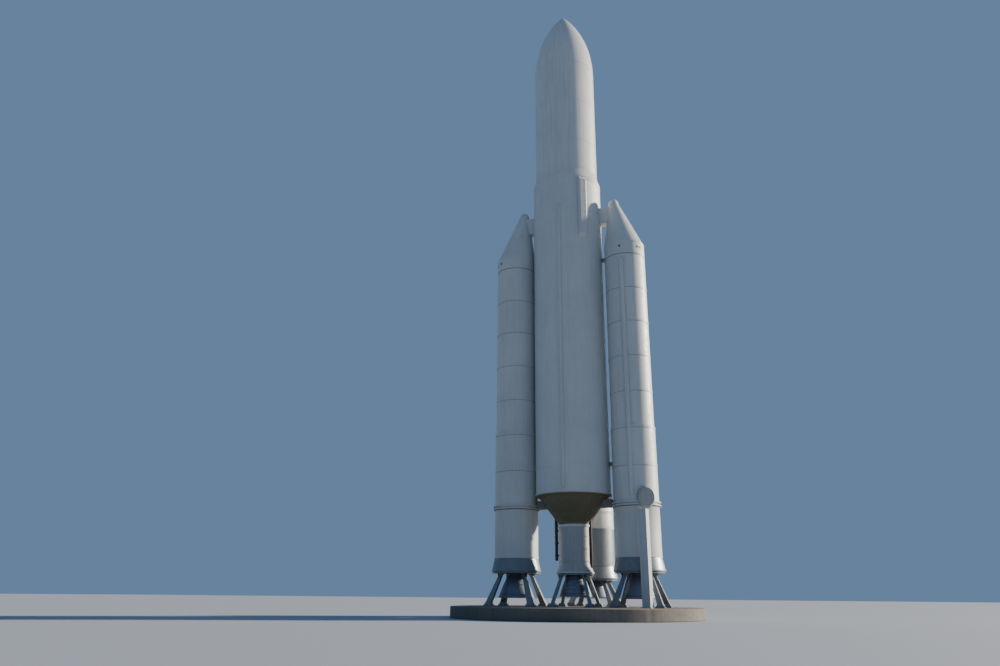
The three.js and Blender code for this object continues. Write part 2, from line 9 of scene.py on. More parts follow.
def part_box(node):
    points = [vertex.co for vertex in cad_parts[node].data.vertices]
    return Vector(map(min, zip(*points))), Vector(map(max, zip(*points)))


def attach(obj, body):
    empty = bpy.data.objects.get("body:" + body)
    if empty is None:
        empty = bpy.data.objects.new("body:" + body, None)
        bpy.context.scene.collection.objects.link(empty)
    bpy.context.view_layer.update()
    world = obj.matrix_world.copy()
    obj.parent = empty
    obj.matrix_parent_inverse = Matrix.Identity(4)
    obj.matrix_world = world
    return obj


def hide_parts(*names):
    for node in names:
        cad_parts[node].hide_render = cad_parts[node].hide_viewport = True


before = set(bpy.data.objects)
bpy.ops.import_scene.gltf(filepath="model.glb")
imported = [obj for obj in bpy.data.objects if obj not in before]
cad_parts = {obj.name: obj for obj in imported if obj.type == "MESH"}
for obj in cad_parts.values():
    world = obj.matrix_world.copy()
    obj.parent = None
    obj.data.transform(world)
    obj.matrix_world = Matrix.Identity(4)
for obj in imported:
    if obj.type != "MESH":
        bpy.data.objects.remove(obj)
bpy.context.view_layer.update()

# Camera and light.
# The photograph looks up from head height, close to the ground, with a low warm sun behind the
# right side of the rocket and the open sky filling the shade.
UP = Vector((0.0, 0.0, 1.0))
EYE = Vector((7.04, -27.24, 0.70))
HEADING = Vector((-0.342, 0.940, 0.0)).normalized()
PITCH = math.radians(18.95)
ROLL = math.radians(0.49)
LENS = 27.6
SENSOR_WIDTH = 36.0
VIEW_END = 500.0
SUN_HEADING = Vector((0.824, 0.566, 0.0)).normalized()
SUN_HEIGHT = math.radians(17.0)
SUN_ANGLE = math.radians(4.0)
SUN_POWER = 9.0
SUN_COLOUR = (1.0, 0.89, 0.74)
SKY_COLOUR = (0.31, 0.52, 0.88, 1.0)
SKY_STRENGTH = 0.42
FLOOR_COLOUR = (0.36, 0.395, 0.44, 1.0)
FLOOR_ROUGHNESS = 0.9
FLOOR_SIZE = 600.0


def placed(name, data):
    """Puts a new object in the scene."""
    made = bpy.data.objects.new(name, data)
    bpy.context.collection.objects.link(made)
    return made


def raised(heading, angle):
    """A level direction tipped upwards by an angle."""
    return heading * math.cos(angle) + UP * math.sin(angle)


camera = placed("camera", bpy.data.cameras.new("camera"))
camera.data.lens = LENS
camera.data.sensor_width = SENSOR_WIDTH
camera.data.clip_end = VIEW_END
ahead = raised(HEADING, PITCH)
across = ahead.cross(UP).normalized()
above = across.cross(ahead)
camera.matrix_world = Matrix.Translation(EYE) @ Matrix((
    across * math.cos(ROLL) + above * math.sin(ROLL),
    above * math.cos(ROLL) - across * math.sin(ROLL),
    -ahead,
)).transposed().to_4x4()
bpy.context.scene.camera = camera

sun = placed("sun", bpy.data.lights.new("sun", "SUN"))
sun.data.energy = SUN_POWER
sun.data.angle = SUN_ANGLE
sun.data.color = SUN_COLOUR
sun.rotation_euler = raised(SUN_HEADING, SUN_HEIGHT).to_track_quat("Z", "Y").to_euler()

world = bpy.data.worlds.new("studio")
bpy.context.scene.world = world
world.use_nodes = True
sky = world.node_tree.nodes["Background"].inputs
sky["Color"].default_value = SKY_COLOUR
sky["Strength"].default_value = SKY_STRENGTH

floor_material = bpy.data.materials.new("floor")
floor_material.use_nodes = True
floor_shader = floor_material.node_tree.nodes["Principled BSDF"].inputs
floor_shader["Base Color"].default_value = FLOOR_COLOUR
floor_shader["Roughness"].default_value = FLOOR_ROUGHNESS
bpy.ops.mesh.primitive_plane_add(size=FLOOR_SIZE)
floor = bpy.context.object
floor.name = "floor"
floor.data.materials.append(floor_material)


# Concrete plinth.
# A round slab cast in place, with chamfered edges, shutter joints round its side and a groove
# round its top. It is weathered grey, darker where water runs down.
def node_of(tree, kind, inputs=(), **settings):
    """Adds a node with its settings; inputs get a value or another node's output."""
    node = tree.nodes.new(kind)
    for name, value in settings.items():
        setattr(node, name, value)
    for key, value in dict(inputs).items():
        if isinstance(value, bpy.types.NodeSocket):
            tree.links.new(value, node.inputs[key])
        else:
            node.inputs[key].default_value = value
    return node


def object_noise(tree, stretch, scale, detail, roughness):
    """Noise on the piece's own coordinates, stretched along one axis for streaks."""
    place = node_of(tree, "ShaderNodeTexCoord").outputs["Object"]
    mapping = node_of(tree, "ShaderNodeMapping", {"Vector": place, "Scale": stretch})
    return node_of(tree, "ShaderNodeTexNoise", {
        "Vector": mapping.outputs["Vector"], "Scale": scale, "Detail": detail, "Roughness": roughness,
    }).outputs["Fac"]


def grey(shade):
    return (shade, shade, shade)


def ramp(tree, value, *stops):
    """Turns a value into a shade of grey; stops are the two (place, shade)."""
    node = node_of(tree, "ShaderNodeValToRGB", {"Fac": value})
    for element, (place, shade) in zip(node.color_ramp.elements, stops):
        element.position = place
        element.color = (*grey(shade), 1.0)
    return node.outputs["Color"]


def weathered(
    slot, name, colour, patch, streak, roughness, metallic=0.0,
    streaks=0.5, patches=0.5, grain=0.0015, grain_scale=90.0, rust=None,
):
    """A slot and its material, with broad patches, rain streaks, rust specks and a fine grain."""
    material = bpy.data.materials.new(name)
    material.use_nodes = True
    tree = material.node_tree
    shader = tree.nodes["Principled BSDF"].inputs
    even = (1.0, 1.0, 1.0)
    layers = [
        # noise's stretch, scale, detail and roughness, where its mask starts and ends, strength, colour
        ((1.0, 1.0, 0.55), 0.9, 5.0, 0.6, 0.42, 0.68, patches, patch),
        (even, 6.5, 5.0, 0.6, 0.5, 0.75, 0.5 * patches, patch),
        ((9.0, 9.0, 0.28), 1.3, 6.0, 0.7, 0.5, 0.72, streaks, streak),
        ((34.0, 34.0, 0.7), 1.0, 3.0, 0.6, 0.48, 0.8, 0.6 * streaks, streak),
    ]
    if rust:
        layers.append((even, 22.0, 6.0, 0.75, 0.6, 0.68, 0.75, rust))
    result = (*colour, 1.0)
    noises = []
    for stretch, scale, detail, softness, first, last, strength, tint in layers:
        noises.append(object_noise(tree, stretch, scale, detail, softness))
        mask = ramp(tree, noises[-1], (first, 0.0), (last, strength))
        result = node_of(
            tree, "ShaderNodeMix", {"Factor": mask, 6: result, 7: (*tint, 1.0)}, data_type="RGBA",
        ).outputs[2]
    gloss = ramp(tree, noises[1], (0.3, roughness - 0.07), (0.7, min(1.0, roughness + 0.12)))
    bump = node_of(tree, "ShaderNodeBump", {
        "Strength": 0.5, "Distance": grain, "Height": object_noise(tree, even, grain_scale, 4.0, 0.6),
    })
    shader["Metallic"].default_value = metallic
    tree.links.new(result, shader["Base Color"])
    tree.links.new(gloss, shader["Roughness"])
    tree.links.new(bump.outputs["Normal"], shader["Normal"])
    return slot, material


def finished(name, work, sharp=28.0):
    """Turns the working mesh into an object with smooth faces and crisp corners."""
    mesh = bpy.data.meshes.new(name)
    work.to_mesh(mesh)
    work.free()
    mesh.shade_smooth()
    mesh.set_sharp_from_angle(angle=math.radians(sharp))
    return placed(name, mesh)


def welded(name, work, sharp=28.0):
    """Turns all faces of the working mesh outwards, and then makes the object."""
    bmesh.ops.recalc_face_normals(work, faces=work.faces)
    return finished(name, work, sharp)


def revolve(name, outline, sides=128, centre=(0.0, 0.0), start=0.0, sweep=2.0 * math.pi, sharp=28.0):
    """A body turned about a vertical line. outline is (radius, height), up the outside."""
    work = bmesh.new()
    whole = sweep == 2.0 * math.pi
    columns = sides if whole else sides + 1
    rings = []
    for radius, height in outline:
        ring = []
        for column in range(columns if radius else 1):
            angle = start + sweep * column / sides
            x = centre[0] + radius * math.cos(angle)
            y = centre[1] + radius * math.sin(angle)
            ring.append(work.verts.new((x, y, height)))
        rings.append(ring if radius else ring * columns)
    closing = rings[:1] if outline[0][0] or outline[-1][0] else []
    for lower, upper in zip(rings, rings[1:] + closing):
        for column in range(sides):
            following = (column + 1) % columns
            corners = (lower[column], lower[following], upper[following], upper[column])
            corners = list(dict.fromkeys(corners))
            if len(corners) > 2:
                work.faces.new(corners)
    if not whole:
        for column in (0, sides):
            work.faces.new(list(dict.fromkeys(ring[column] for ring in rings)))
    return welded(name, work, sharp)


def fit(piece, finish, *nodes, body="root"):
    """Gives a piece its material, its body and the solids that it stands for."""
    slot, material = finish
    piece.data.materials.clear()
    piece.data.materials.append(material)
    if nodes:
        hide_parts(*nodes)
    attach(piece, body)
    return piece


concrete = weathered(
    "concrete", "weathered concrete",
    (0.175, 0.162, 0.138), (0.135, 0.125, 0.105), (0.1, 0.092, 0.08), 0.86,
    streaks=0.55, patches=0.7, grain=0.004, grain_scale=55.0,
)
plinth_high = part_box("concrete_plinth")[1]
PLINTH_RADIUS = plinth_high.x
PLINTH_TOP = plinth_high.z
PLINTH_CHAMFER = 0.022
SHUTTER_JOINTS = 24
SIDES_PER_JOINT = 12
JOINT_DEPTH = 0.012

plinth = revolve("plinth_slab", [
    (0.0, 0.0),
    (PLINTH_RADIUS - PLINTH_CHAMFER, 0.0),
    (PLINTH_RADIUS, PLINTH_CHAMFER),
    (PLINTH_RADIUS, PLINTH_TOP - PLINTH_CHAMFER),
    (PLINTH_RADIUS - PLINTH_CHAMFER, PLINTH_TOP),
    (PLINTH_RADIUS * 0.93, PLINTH_TOP),
    (PLINTH_RADIUS * 0.928, PLINTH_TOP - JOINT_DEPTH),
    (PLINTH_RADIUS * 0.926, PLINTH_TOP - JOINT_DEPTH),
    (PLINTH_RADIUS * 0.924, PLINTH_TOP),
    (0.0, PLINTH_TOP),
], SHUTTER_JOINTS * SIDES_PER_JOINT)
for vertex in plinth.data.vertices:
    angle = math.degrees(math.atan2(vertex.co.y, vertex.co.x)) % (360.0 / SHUTTER_JOINTS)
    if vertex.co.xy.length > PLINTH_RADIUS * 0.95 and angle < 0.1:
        vertex.co.xy *= 1.0 - JOINT_DEPTH / PLINTH_RADIUS
fit(plinth, concrete, "concrete_plinth")


# Stands.
# Each upright body rests on a steel ring with four splayed box legs, welded up from plate, with
# gussets and foot plates bolted down to the plinth. The paint is grey, with rust at the feet.
stand_paint = weathered(
    "stand_steel", "stand paint", (0.235, 0.26, 0.28), (0.175, 0.19, 0.2), (0.16, 0.14, 0.12), 0.4, 0.35,
    rust=(0.16, 0.07, 0.03),
)
GAP = 0.001  # between faces that would lie in one plane
RING_HEIGHT = 0.06
RING_LIP = 0.018
FOOT_TOP = 0.49
FOOT_WIDTH = 0.31
FOOT_PLATE = 0.03
PLATE_TOP = PLINTH_TOP + FOOT_PLATE
LEG_BEVEL = 0.006
LEG_SINK = 0.02
GUSSET_DROP = 0.2
GUSSET_THICKNESS = 0.012
BOLT_INSET = 0.022
FOOT_BOLT = (0.011, 0.045, 8)  # radius, height and sides
FOOT_NUT = (0.018, 0.016, 6)
LEFT_X = -2.165
RIGHT_X = 2.25
REAR_Y = 2.95
# A stand's sizes: its ring's inner and outer radius, then its legs' distance from the centre at
# their top and foot, and their width there.
CENTRE_STAND = (0.44, 0.65, 0.525, 0.925, 0.095, 0.12)
OUTER_STAND = (0.49, 0.87, 0.575, 1.075, 0.12, 0.2)
STANDS = (
    ("stand_centre", 0.0, 0.0, CENTRE_STAND),
    ("stand_left", LEFT_X, 0.0, OUTER_STAND),
    ("stand_right", RIGHT_X, 0.0, OUTER_STAND),
    ("stand_rear", 0.0, REAR_Y, OUTER_STAND),
)


def turned(name, outline, finish, *nodes, body="root", **shape):
    """A turned body that is fitted as it is."""
    return fit(revolve(name, outline, **shape), finish, *nodes, body=body)


def add_loft(work, loops, matrix=Matrix.Identity(4)):
    """Adds a closed body through corner loops of equal count."""
    loops = [[work.verts.new(matrix @ Vector(corner)) for corner in loop] for loop in loops]
    for lower, upper in zip(loops, loops[1:]):
        for i in range(len(lower)):
            work.faces.new((lower[i - 1], lower[i], upper[i], upper[i - 1]))
    work.faces.new(loops[0][::-1])
    work.faces.new(loops[-1])


def level(centre, width, depth, z):
    """The corners of a level rectangle about a point."""
    return [
        (centre[0] + i * width / 2, centre[1] + j * depth / 2, z)
        for i, j in ((-1, -1), (1, -1), (1, 1), (-1, 1))
    ]


def add_box(work, centre, width, depth, low, high, matrix=Matrix.Identity(4)):
    """Adds an upright box between two heights."""
    add_loft(work, [level(centre, width, depth, z) for z in (low, high)], matrix)


def add_bar(work, radius, start, along, sides):
    """Adds a closed round bar."""
    turn = along.to_track_quat("Z", "Y").to_matrix().to_4x4()
    bmesh.ops.create_cone(
        work, cap_ends=True, segments=sides, radius1=radius, radius2=radius,
        depth=along.length, matrix=Matrix.Translation(start + along / 2) @ turn,
    )


def rounded(piece, width, angle=30.0):
    """Rounds the edges of a piece that are sharper than an angle."""
    bevel = piece.modifiers.new("edges", "BEVEL")
    bevel.width = width
    bevel.segments = 2
    bevel.limit_method = "ANGLE"
    bevel.angle_limit = math.radians(angle)
    return piece


for name, x, y, (inner, outer, leg_radius, foot_radius, leg_top, leg_bottom) in STANDS:
    ring_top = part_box(name)[1].z
    ring_bottom = ring_top - RING_HEIGHT
    slope = (foot_radius - leg_radius) / (ring_bottom - FOOT_TOP)
    tip = leg_radius + slope * GUSSET_DROP
    work = bmesh.new()
    for quarter in range(4):
        turn = Matrix.Translation((x, y, 0.0)) @ Matrix.Rotation(math.radians(45 + 90 * quarter), 4, "Z")
        top = turn @ Vector((leg_radius, 0.0, 0.0))
        foot = turn @ Vector((foot_radius, 0.0, 0.0))
        for (low_centre, low_width, low_z), (high_centre, high_width, high_z) in (
            ((foot, leg_bottom, FOOT_TOP - LEG_SINK), (top, leg_top, ring_bottom + LEG_SINK)),
            ((foot, FOOT_WIDTH * 0.8, PLATE_TOP), (foot, FOOT_WIDTH * 0.72, FOOT_TOP)),
            ((foot, FOOT_WIDTH, PLINTH_TOP + GAP), (foot, FOOT_WIDTH, PLATE_TOP)),
        ):
            add_loft(work, (
                level(low_centre, low_width, low_width, low_z),
                level(high_centre, high_width, high_width, high_z),
            ))
        for side in (-1.0, 1.0):
            middle = side * (leg_top / 2 + 0.004)
            add_loft(work, [
                [
                    (tip, y_face, ring_bottom - GUSSET_DROP),
                    (tip + 0.01, y_face, ring_bottom - GUSSET_DROP),
                    (leg_radius + 0.14, y_face, ring_bottom + 0.01),
                    (leg_radius - 0.08, y_face, ring_bottom + 0.01),
                ]
                for y_face in (middle - GUSSET_THICKNESS / 2, middle + GUSSET_THICKNESS / 2)
            ], turn)
        bolts_apart = FOOT_WIDTH - 2.0 * BOLT_INSET
        for spot in level(foot, bolts_apart, bolts_apart, PLATE_TOP):
            for radius, height, sides in (FOOT_BOLT, FOOT_NUT):
                add_bar(work, radius, Vector(spot), UP * height, sides)
    fit(rounded(welded(f"{name}_legs", work, 30.0), LEG_BEVEL), stand_paint)
    turned(f"{name}_ring", [
        (inner, ring_bottom),
        (outer, ring_bottom),
        (outer, ring_bottom + RING_LIP),
        (outer - 0.05, ring_bottom + RING_LIP),
        (outer - 0.05, ring_top - RING_LIP),
        (outer, ring_top - RING_LIP),
        (outer, ring_top),
        (inner, ring_top),
    ], stand_paint, name, sides=96, centre=(x, y))


# Engine block and gimbals.
# Forged steel parts above each nozzle: a mount plate with two lugs, a ring that turns in the lugs,
# and over the main one the closed block of the engine. They are bare metal, dulled by the weather.
bare_steel = weathered(
    "gimbal_steel", "dull bare steel", (0.23, 0.235, 0.24), (0.13, 0.13, 0.13), (0.16, 0.1, 0.06),
    0.42, 0.85, streaks=0.4, rust=(0.13, 0.06, 0.03), grain_scale=160.0,
)
ENGINES = ("main", "left", "right")
FORGED_EDGE = 0.004
BLOCK_EDGE = 0.02


def softened(node, finish, edge, body="root"):
    """The solid's own shape with its edges rounded, in place of the plain solid."""
    work = bmesh.new()
    work.from_mesh(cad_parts[node].data)
    bmesh.ops.remove_doubles(work, verts=work.verts, dist=1e-5)
    bmesh.ops.dissolve_limit(work, angle_limit=math.radians(1.0), verts=work.verts, edges=work.edges)
    fit(rounded(finished(f"{node}_part", work, 25.0), edge, 40.0), finish, node, body=body)


for engine in ENGINES:
    softened(f"{engine}_gimbal_mount", bare_steel, FORGED_EDGE)
    softened(f"{engine}_gimbal_ring", bare_steel, FORGED_EDGE, f"{engine}_gimbal_ring")
softened("engine_block", bare_steel, BLOCK_EDGE)


# Nozzles.
# Each bell is a thin metal shell that widens to its exit, with stiffening hoops round it. The main
# one is built up of fine tubes side by side, and the boosters' are plain, all with a heavier lip.
bell_metal = weathered(
    "nozzle_metal", "heat-worn bell metal", (0.2, 0.245, 0.31), (0.13, 0.155, 0.2), (0.26, 0.25, 0.25),
    0.48, 0.55, patches=0.8, grain=0.0006,
)
# The lip is a pinkish-brown copy of the nozzle metal: painted warm sunlight on the rim, with rust specks.
lip_painted_warm_light = weathered(
    "nozzle_metal", "lip with painted warm light and rust", (0.36, 0.235, 0.2), (0.26, 0.16, 0.13), (0.17, 0.1, 0.08), 0.6, 0.3,
    streaks=0.6, rust=(0.1, 0.045, 0.03),
)
# The inside is a near-black copy of the nozzle metal: painted shade in the bell's hollow.
bell_inside_painted_shade = weathered("nozzle_metal", "inside with painted shade", grey(0.02), grey(0.012), grey(0.03), 0.8, 0.2)
BELL_WALL = 0.02
BELL_STEPS = 28
FLARE_POWER = 1.25
NECK_RADIUS = 0.25
PIN_RADIUS = 0.025
PIN_HALF_LENGTH = 0.4
TUBES = 180
TUBE_DEPTH = 0.004
LINING_GAP = 0.002
LINING_WALL = 0.004
# A bell's sizes: pivot, throat and exit heights, throat and exit radii, number of hoops.
MAIN_BELL = (1.9, 1.65, 0.7, 0.17, 0.55, 6)
BOOSTER_BELL = (1.875, 1.6, 0.65, 0.18, 0.625, 3)
BELLS = {"main": MAIN_BELL, "left": BOOSTER_BELL, "right": BOOSTER_BELL}


def bell_radius(height, throat, bottom, throat_radius, exit_radius):
    """The inner radius of a bell at a height: it flares fast below the throat, then runs straight."""
    down = (throat - height) / (throat - bottom)
    return throat_radius + (exit_radius - throat_radius) * (1.0 - (1.0 - down) ** FLARE_POWER)


for engine, (pivot, throat, bottom, throat_radius, exit_radius, hoops) in BELLS.items():
    body = f"{engine}_nozzle"
    low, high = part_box(body)
    x = (low.x + high.x) / 2
    curve = (throat, bottom, throat_radius, exit_radius - BELL_WALL)
    heights = [bottom + (throat - bottom) * i / BELL_STEPS for i in range(BELL_STEPS + 1)]
    inside = [(bell_radius(z, *curve), z) for z in heights]
    bell = revolve(f"{engine}_bell", [
        (0.0, throat + 0.015),
        *inside[::-1],
        *[(radius + BELL_WALL, z) for radius, z in inside],
        (NECK_RADIUS * 0.86, throat + 0.05),
        (NECK_RADIUS * 0.86, pivot - 0.14),
        (NECK_RADIUS, pivot - 0.12),
        (NECK_RADIUS, pivot + 0.10),
        (NECK_RADIUS * 0.95, pivot + 0.11),
        (0.0, pivot + 0.11),
    ], TUBES * 2, (x, 0.0))
    if engine == "main":
        for vertex in bell.data.vertices:
            z = vertex.co.z
            reach = vertex.co.xy - Vector((x, 0.0))
            column = round(math.atan2(reach.y, reach.x) / (math.pi / TUBES))
            wall = bell_radius(max(bottom, min(throat, z)), *curve) + BELL_WALL / 2
            if reach.length > wall and bottom + 0.03 < z < throat - 0.02 and column % 2:
                vertex.co.xy -= reach.normalized() * TUBE_DEPTH
    fit(bell, bell_metal, body, body=body)
    for index in range(hoops):
        z = bottom + 0.12 + (throat - bottom - 0.3) * index / (hoops - 1)
        radius = bell_radius(z, *curve) + BELL_WALL
        turned(f"{engine}_bell_hoop_{index + 1}", [
            (radius - 0.006, z - 0.016),
            (radius + 0.014, z - 0.012),
            (radius + 0.014, z + 0.004),
            (radius - 0.006, z + 0.008),
        ], bell_metal, body=body, sides=96, centre=(x, 0.0))
    turned(f"{engine}_bell_lip", [
        (exit_radius - 0.012, bottom - 0.002),
        (exit_radius + 0.012, bottom - 0.002),
        (exit_radius + 0.012, bottom + 0.035),
        (exit_radius - 0.012, bottom + 0.045),
    ], lip_painted_warm_light, body=body, centre=(x, 0.0))
    # The lining inside each bell is near black: painted shade.
    turned(f"{engine}_bell_lining", [
        (inside[0][0] - LINING_GAP, bottom + 0.004),
        *[(radius - LINING_GAP, z) for radius, z in inside[1:]],
        (0.0, throat),
        (0.0, throat - LINING_WALL),
        *[(radius - LINING_GAP - LINING_WALL, z) for radius, z in inside[-2::-1]],
    ], bell_inside_painted_shade, body=body, centre=(x, 0.0))
    work = bmesh.new()
    along = Vector((-1.0, 1.0, 0.0)).normalized() * PIN_HALF_LENGTH
    add_bar(work, PIN_RADIUS, Vector((x, 0.0, pivot)) - along, 2.0 * along, 24)
    fit(finished(f"{engine}_nozzle_pins", work), bare_steel, body=body)


# Engine shroud.
# A sheet-metal tube hangs from the thrust cone and hides the main engine. It has ring seams, rows
# of rivets, a flared foot and two feed pipes clamped to its sides.
shroud_paint = weathered(
    "shroud_paint", "streaked shroud paint", (0.40, 0.415, 0.42), (0.30, 0.31, 0.31),
    (0.22, 0.215, 0.2), 0.5, streaks=0.45,
)
pale_paint = weathered(
    "shroud_paint", "pale edge paint", (0.66, 0.67, 0.65), (0.5, 0.5, 0.48), (0.3, 0.28, 0.25), 0.5,
)
burnt_pipe = weathered(
    "shroud_paint", "dark pipe lagging", (0.06, 0.052, 0.045), (0.035, 0.03, 0.027),
    (0.12, 0.08, 0.05), 0.7, streaks=0.6, rust=(0.16, 0.08, 0.04),
)
SHROUD_RADIUS = 0.55
SHROUD_WALL = 0.025
SHROUD_FLARE = 1.8
SHROUD_KNEE = SHROUD_FLARE - 0.12
SHROUD_RIM = 0.655
SHROUD_BOTTOM = 1.475
SHROUD_TOP = 3.125
SHROUD_SEAMS = (1.86, 2.28, 2.70)
SMALL_RIVET = (0.005, 0.006, 6)  # as all fasteners here: the head's radius, rise and sides
COLLAR_BOLT = (0.011, 0.014, 6)


def fastener_rows():
    """Geometry Nodes: rows of flat round fasteners standing outwards on a turned body."""
    tree = bpy.data.node_groups.new("fastener rows", "GeometryNodeTree")
    tree.interface.new_socket("Geometry", in_out="OUTPUT", socket_type="NodeSocketGeometry")
    for kind, labels in (
        ("Int", ("Count", "Rows", "Sides")),
        ("Float", ("Radius", "Bottom", "Pitch", "Taper", "Start", "Sweep", "Head", "Rise")),
        ("Vector", ("Centre",)),
        ("Material", ("Finish",)),
    ):
        for label in labels:
            tree.interface.new_socket(label, in_out="INPUT", socket_type=f"NodeSocket{kind}")
    given = tree.nodes.new("NodeGroupInput").outputs

    def part(kind, inputs=(), **settings):
        return node_of(tree, kind, inputs, **settings).outputs[0]

    def calc(operation, *values):
        return part("ShaderNodeMath", enumerate(values), operation=operation)

    def vector(*values):
        return part("ShaderNodeCombineXYZ", enumerate(values))

    index = part("GeometryNodeInputIndex")
    row = calc("FLOOR", calc("DIVIDE", calc("ADD", index, 0.5), given["Count"]))
    column = calc("SUBTRACT", index, calc("MULTIPLY", row, given["Count"]))
    turn = calc("MULTIPLY_ADD", given["Sweep"], calc("DIVIDE", column, given["Count"]), given["Start"])
    reach = calc("MULTIPLY_ADD", given["Taper"], row, given["Radius"])
    place = vector(
        calc("MULTIPLY", reach, calc("COSINE", turn)),
        calc("MULTIPLY", reach, calc("SINE", turn)),
        calc("MULTIPLY_ADD", given["Pitch"], row, given["Bottom"]),
    )
    points = part("GeometryNodePoints", {
        "Count": calc("MULTIPLY", given["Count"], given["Rows"]),
        "Position": part("ShaderNodeVectorMath", {0: place, 1: given["Centre"]}),
    })
    head = part("GeometryNodeMeshCylinder", {
        "Vertices": given["Sides"], "Radius": given["Head"], "Depth": given["Rise"],
    })
    facing = part("FunctionNodeEulerToRotation", {0: vector(0.0, math.pi / 2, turn)})
    stamped = part("GeometryNodeInstanceOnPoints", {
        "Points": points, "Instance": head, "Rotation": facing,
    })
    realized = part("GeometryNodeRealizeInstances", {0: stamped})
    painted = part("GeometryNodeSetMaterial", {"Geometry": realized, "Material": given["Finish"]})
    node_of(tree, "NodeGroupOutput", {0: painted})
    return tree


FASTENER_ROWS = fastener_rows()


def fasteners(
    name, finish, size, radius, bottom, count, rows=1, pitch=0.0, taper=0.0,
    start=0.0, sweep=2.0 * math.pi, centre=(0.0, 0.0),
):
    """Rows of fasteners as one mesh; taper is the change of radius from row to row."""
    head, rise, sides = size
    sizes = {
        "Count": count, "Rows": rows, "Sides": sides, "Radius": radius, "Bottom": bottom,
        "Pitch": pitch, "Taper": taper, "Start": start, "Sweep": sweep, "Head": head, "Rise": rise,
        "Centre": (*centre, 0.0), "Finish": finish[1],
    }
    piece = placed(name, bpy.data.meshes.new(name))
    modifier = piece.modifiers.new("rows", "NODES")
    modifier.node_group = FASTENER_ROWS
    for socket in FASTENER_ROWS.interface.items_tree:
        if socket.in_out == "INPUT":
            modifier[socket.identifier] = sizes[socket.name]
    ready = piece.evaluated_get(bpy.context.evaluated_depsgraph_get())
    mesh = bpy.data.meshes.new_from_object(ready)
    piece.modifiers.clear()
    piece.data = mesh
    fit(piece, finish)


def flat_band(inner, outer, low, high):
    """The outline of a plain band, or of a plain drum where there is no inner radius."""
    return [(inner, low), (outer, low), (outer, high), (inner, high)]


turned("shroud_tube", [
    (SHROUD_RADIUS - SHROUD_WALL, SHROUD_TOP),
    (SHROUD_RADIUS - SHROUD_WALL, SHROUD_FLARE),
    (SHROUD_RADIUS - SHROUD_WALL + 0.022, SHROUD_KNEE),
    (SHROUD_RIM - SHROUD_WALL, SHROUD_BOTTOM),
    (SHROUD_RIM, SHROUD_BOTTOM),
    (SHROUD_RIM, SHROUD_BOTTOM + 0.012),
    (SHROUD_RADIUS + 0.028, SHROUD_KNEE),
    (SHROUD_RADIUS, SHROUD_FLARE),
    (SHROUD_RADIUS, SHROUD_TOP),
], shroud_paint, "engine_shroud")
for index, z in enumerate(SHROUD_SEAMS):
    seam = flat_band(SHROUD_RADIUS - 0.004, SHROUD_RADIUS + 0.005, z - 0.025, z + 0.025)
    turned(f"shroud_seam_{index + 1}", seam, shroud_paint)
    fasteners(
        f"shroud_rivets_{index + 1}", shroud_paint, SMALL_RIVET,
        SHROUD_RADIUS + 0.006, z - 0.014, 72, 2, 0.028,
    )
turned("shroud_collar", [
    (SHROUD_RADIUS - 0.01, SHROUD_TOP - 0.10),
    (SHROUD_RADIUS + 0.022, SHROUD_TOP - 0.09),
    (SHROUD_RADIUS + 0.022, SHROUD_TOP - 0.02),
    (SHROUD_RADIUS - 0.01, SHROUD_TOP - 0.01),
], pale_paint)
fasteners("shroud_collar_bolts", pale_paint, COLLAR_BOLT, SHROUD_RADIUS + 0.024, SHROUD_TOP - 0.055, 48)
turned("shroud_foot", [
    (SHROUD_RIM - 0.02, SHROUD_BOTTOM),
    (SHROUD_RIM + 0.01, SHROUD_BOTTOM),
    (SHROUD_RIM + 0.01, SHROUD_BOTTOM + 0.03),
    (SHROUD_RIM - 0.02, SHROUD_BOTTOM + 0.04),
], pale_paint)

PIPE_SIDES = 40
PIPE_BRACKETS = (2.05, 2.475, 2.90)
BRACKET_WIDTH = 0.06
BRACKET_HEIGHT = 0.05
PIPES = (
    # side, centre X, radius, bottom, top, finish
    ("left", -0.66, 0.055, 1.90, 3.40, burnt_pipe),
    ("right", 0.585, 0.05, 1.65, 3.30, burnt_pipe),
)
for side, x, radius, bottom, top, lagging in PIPES:
    turned(f"{side}_feed_pipe", [
        (0.0, bottom),
        (radius * 0.8, bottom),
        (radius, bottom + 0.02),
        (radius, top - 0.01),
        (radius * 0.8, top),
        (0.0, top),
    ], lagging, sides=PIPE_SIDES, centre=(x, 0.0))
    middle = math.copysign((abs(x) + SHROUD_RADIUS) / 2, x)
    reach = abs(x) - SHROUD_RADIUS + 0.01
    work = bmesh.new()
    for z in PIPE_BRACKETS:
        add_box(work, (middle, 0.0), reach, BRACKET_WIDTH, z, z + BRACKET_HEIGHT)
    fit(welded(f"{side}_pipe_brackets", work), lagging)
    for index, z in enumerate(PIPE_BRACKETS):
        clamp = flat_band(radius - 0.004, radius + 0.008, z + 0.005, z + BRACKET_HEIGHT - 0.005)
        turned(f"{side}_pipe_clamp_{index + 1}", clamp, lagging, sides=PIPE_SIDES, centre=(x, 0.0))


# Thrust cone.
# The cone that carries the main engine's push to the core. It is a riveted skin on ribs and ring
# frames, sprayed with a dark brown insulation that has faded in patches.
cone_coat = weathered(
    "cone_dark", "faded insulation coat", (0.135, 0.128, 0.082), (0.185, 0.172, 0.12),
    (0.23, 0.2, 0.15), 0.78, streaks=0.45, patches=0.7, grain=0.003,
)
CONE_BOTTOM = 3.2
CONE_TOP = 4.1
CONE_FLANGE = 0.075
CONE_FOOT_RADIUS = 0.575
CONE_HEAD_RADIUS = 1.25
CONE_SIDES = 144
CONE_FRAME = (3.62, 3.68)
FRAME_RISE = 0.012
CONE_RIBS = 36
RIB_RISE = 0.014


def cone_radius(height):
    climb = (height - CONE_BOTTOM) / (CONE_TOP - CONE_BOTTOM)
    return CONE_FOOT_RADIUS + (CONE_HEAD_RADIUS - CONE_FOOT_RADIUS) * climb


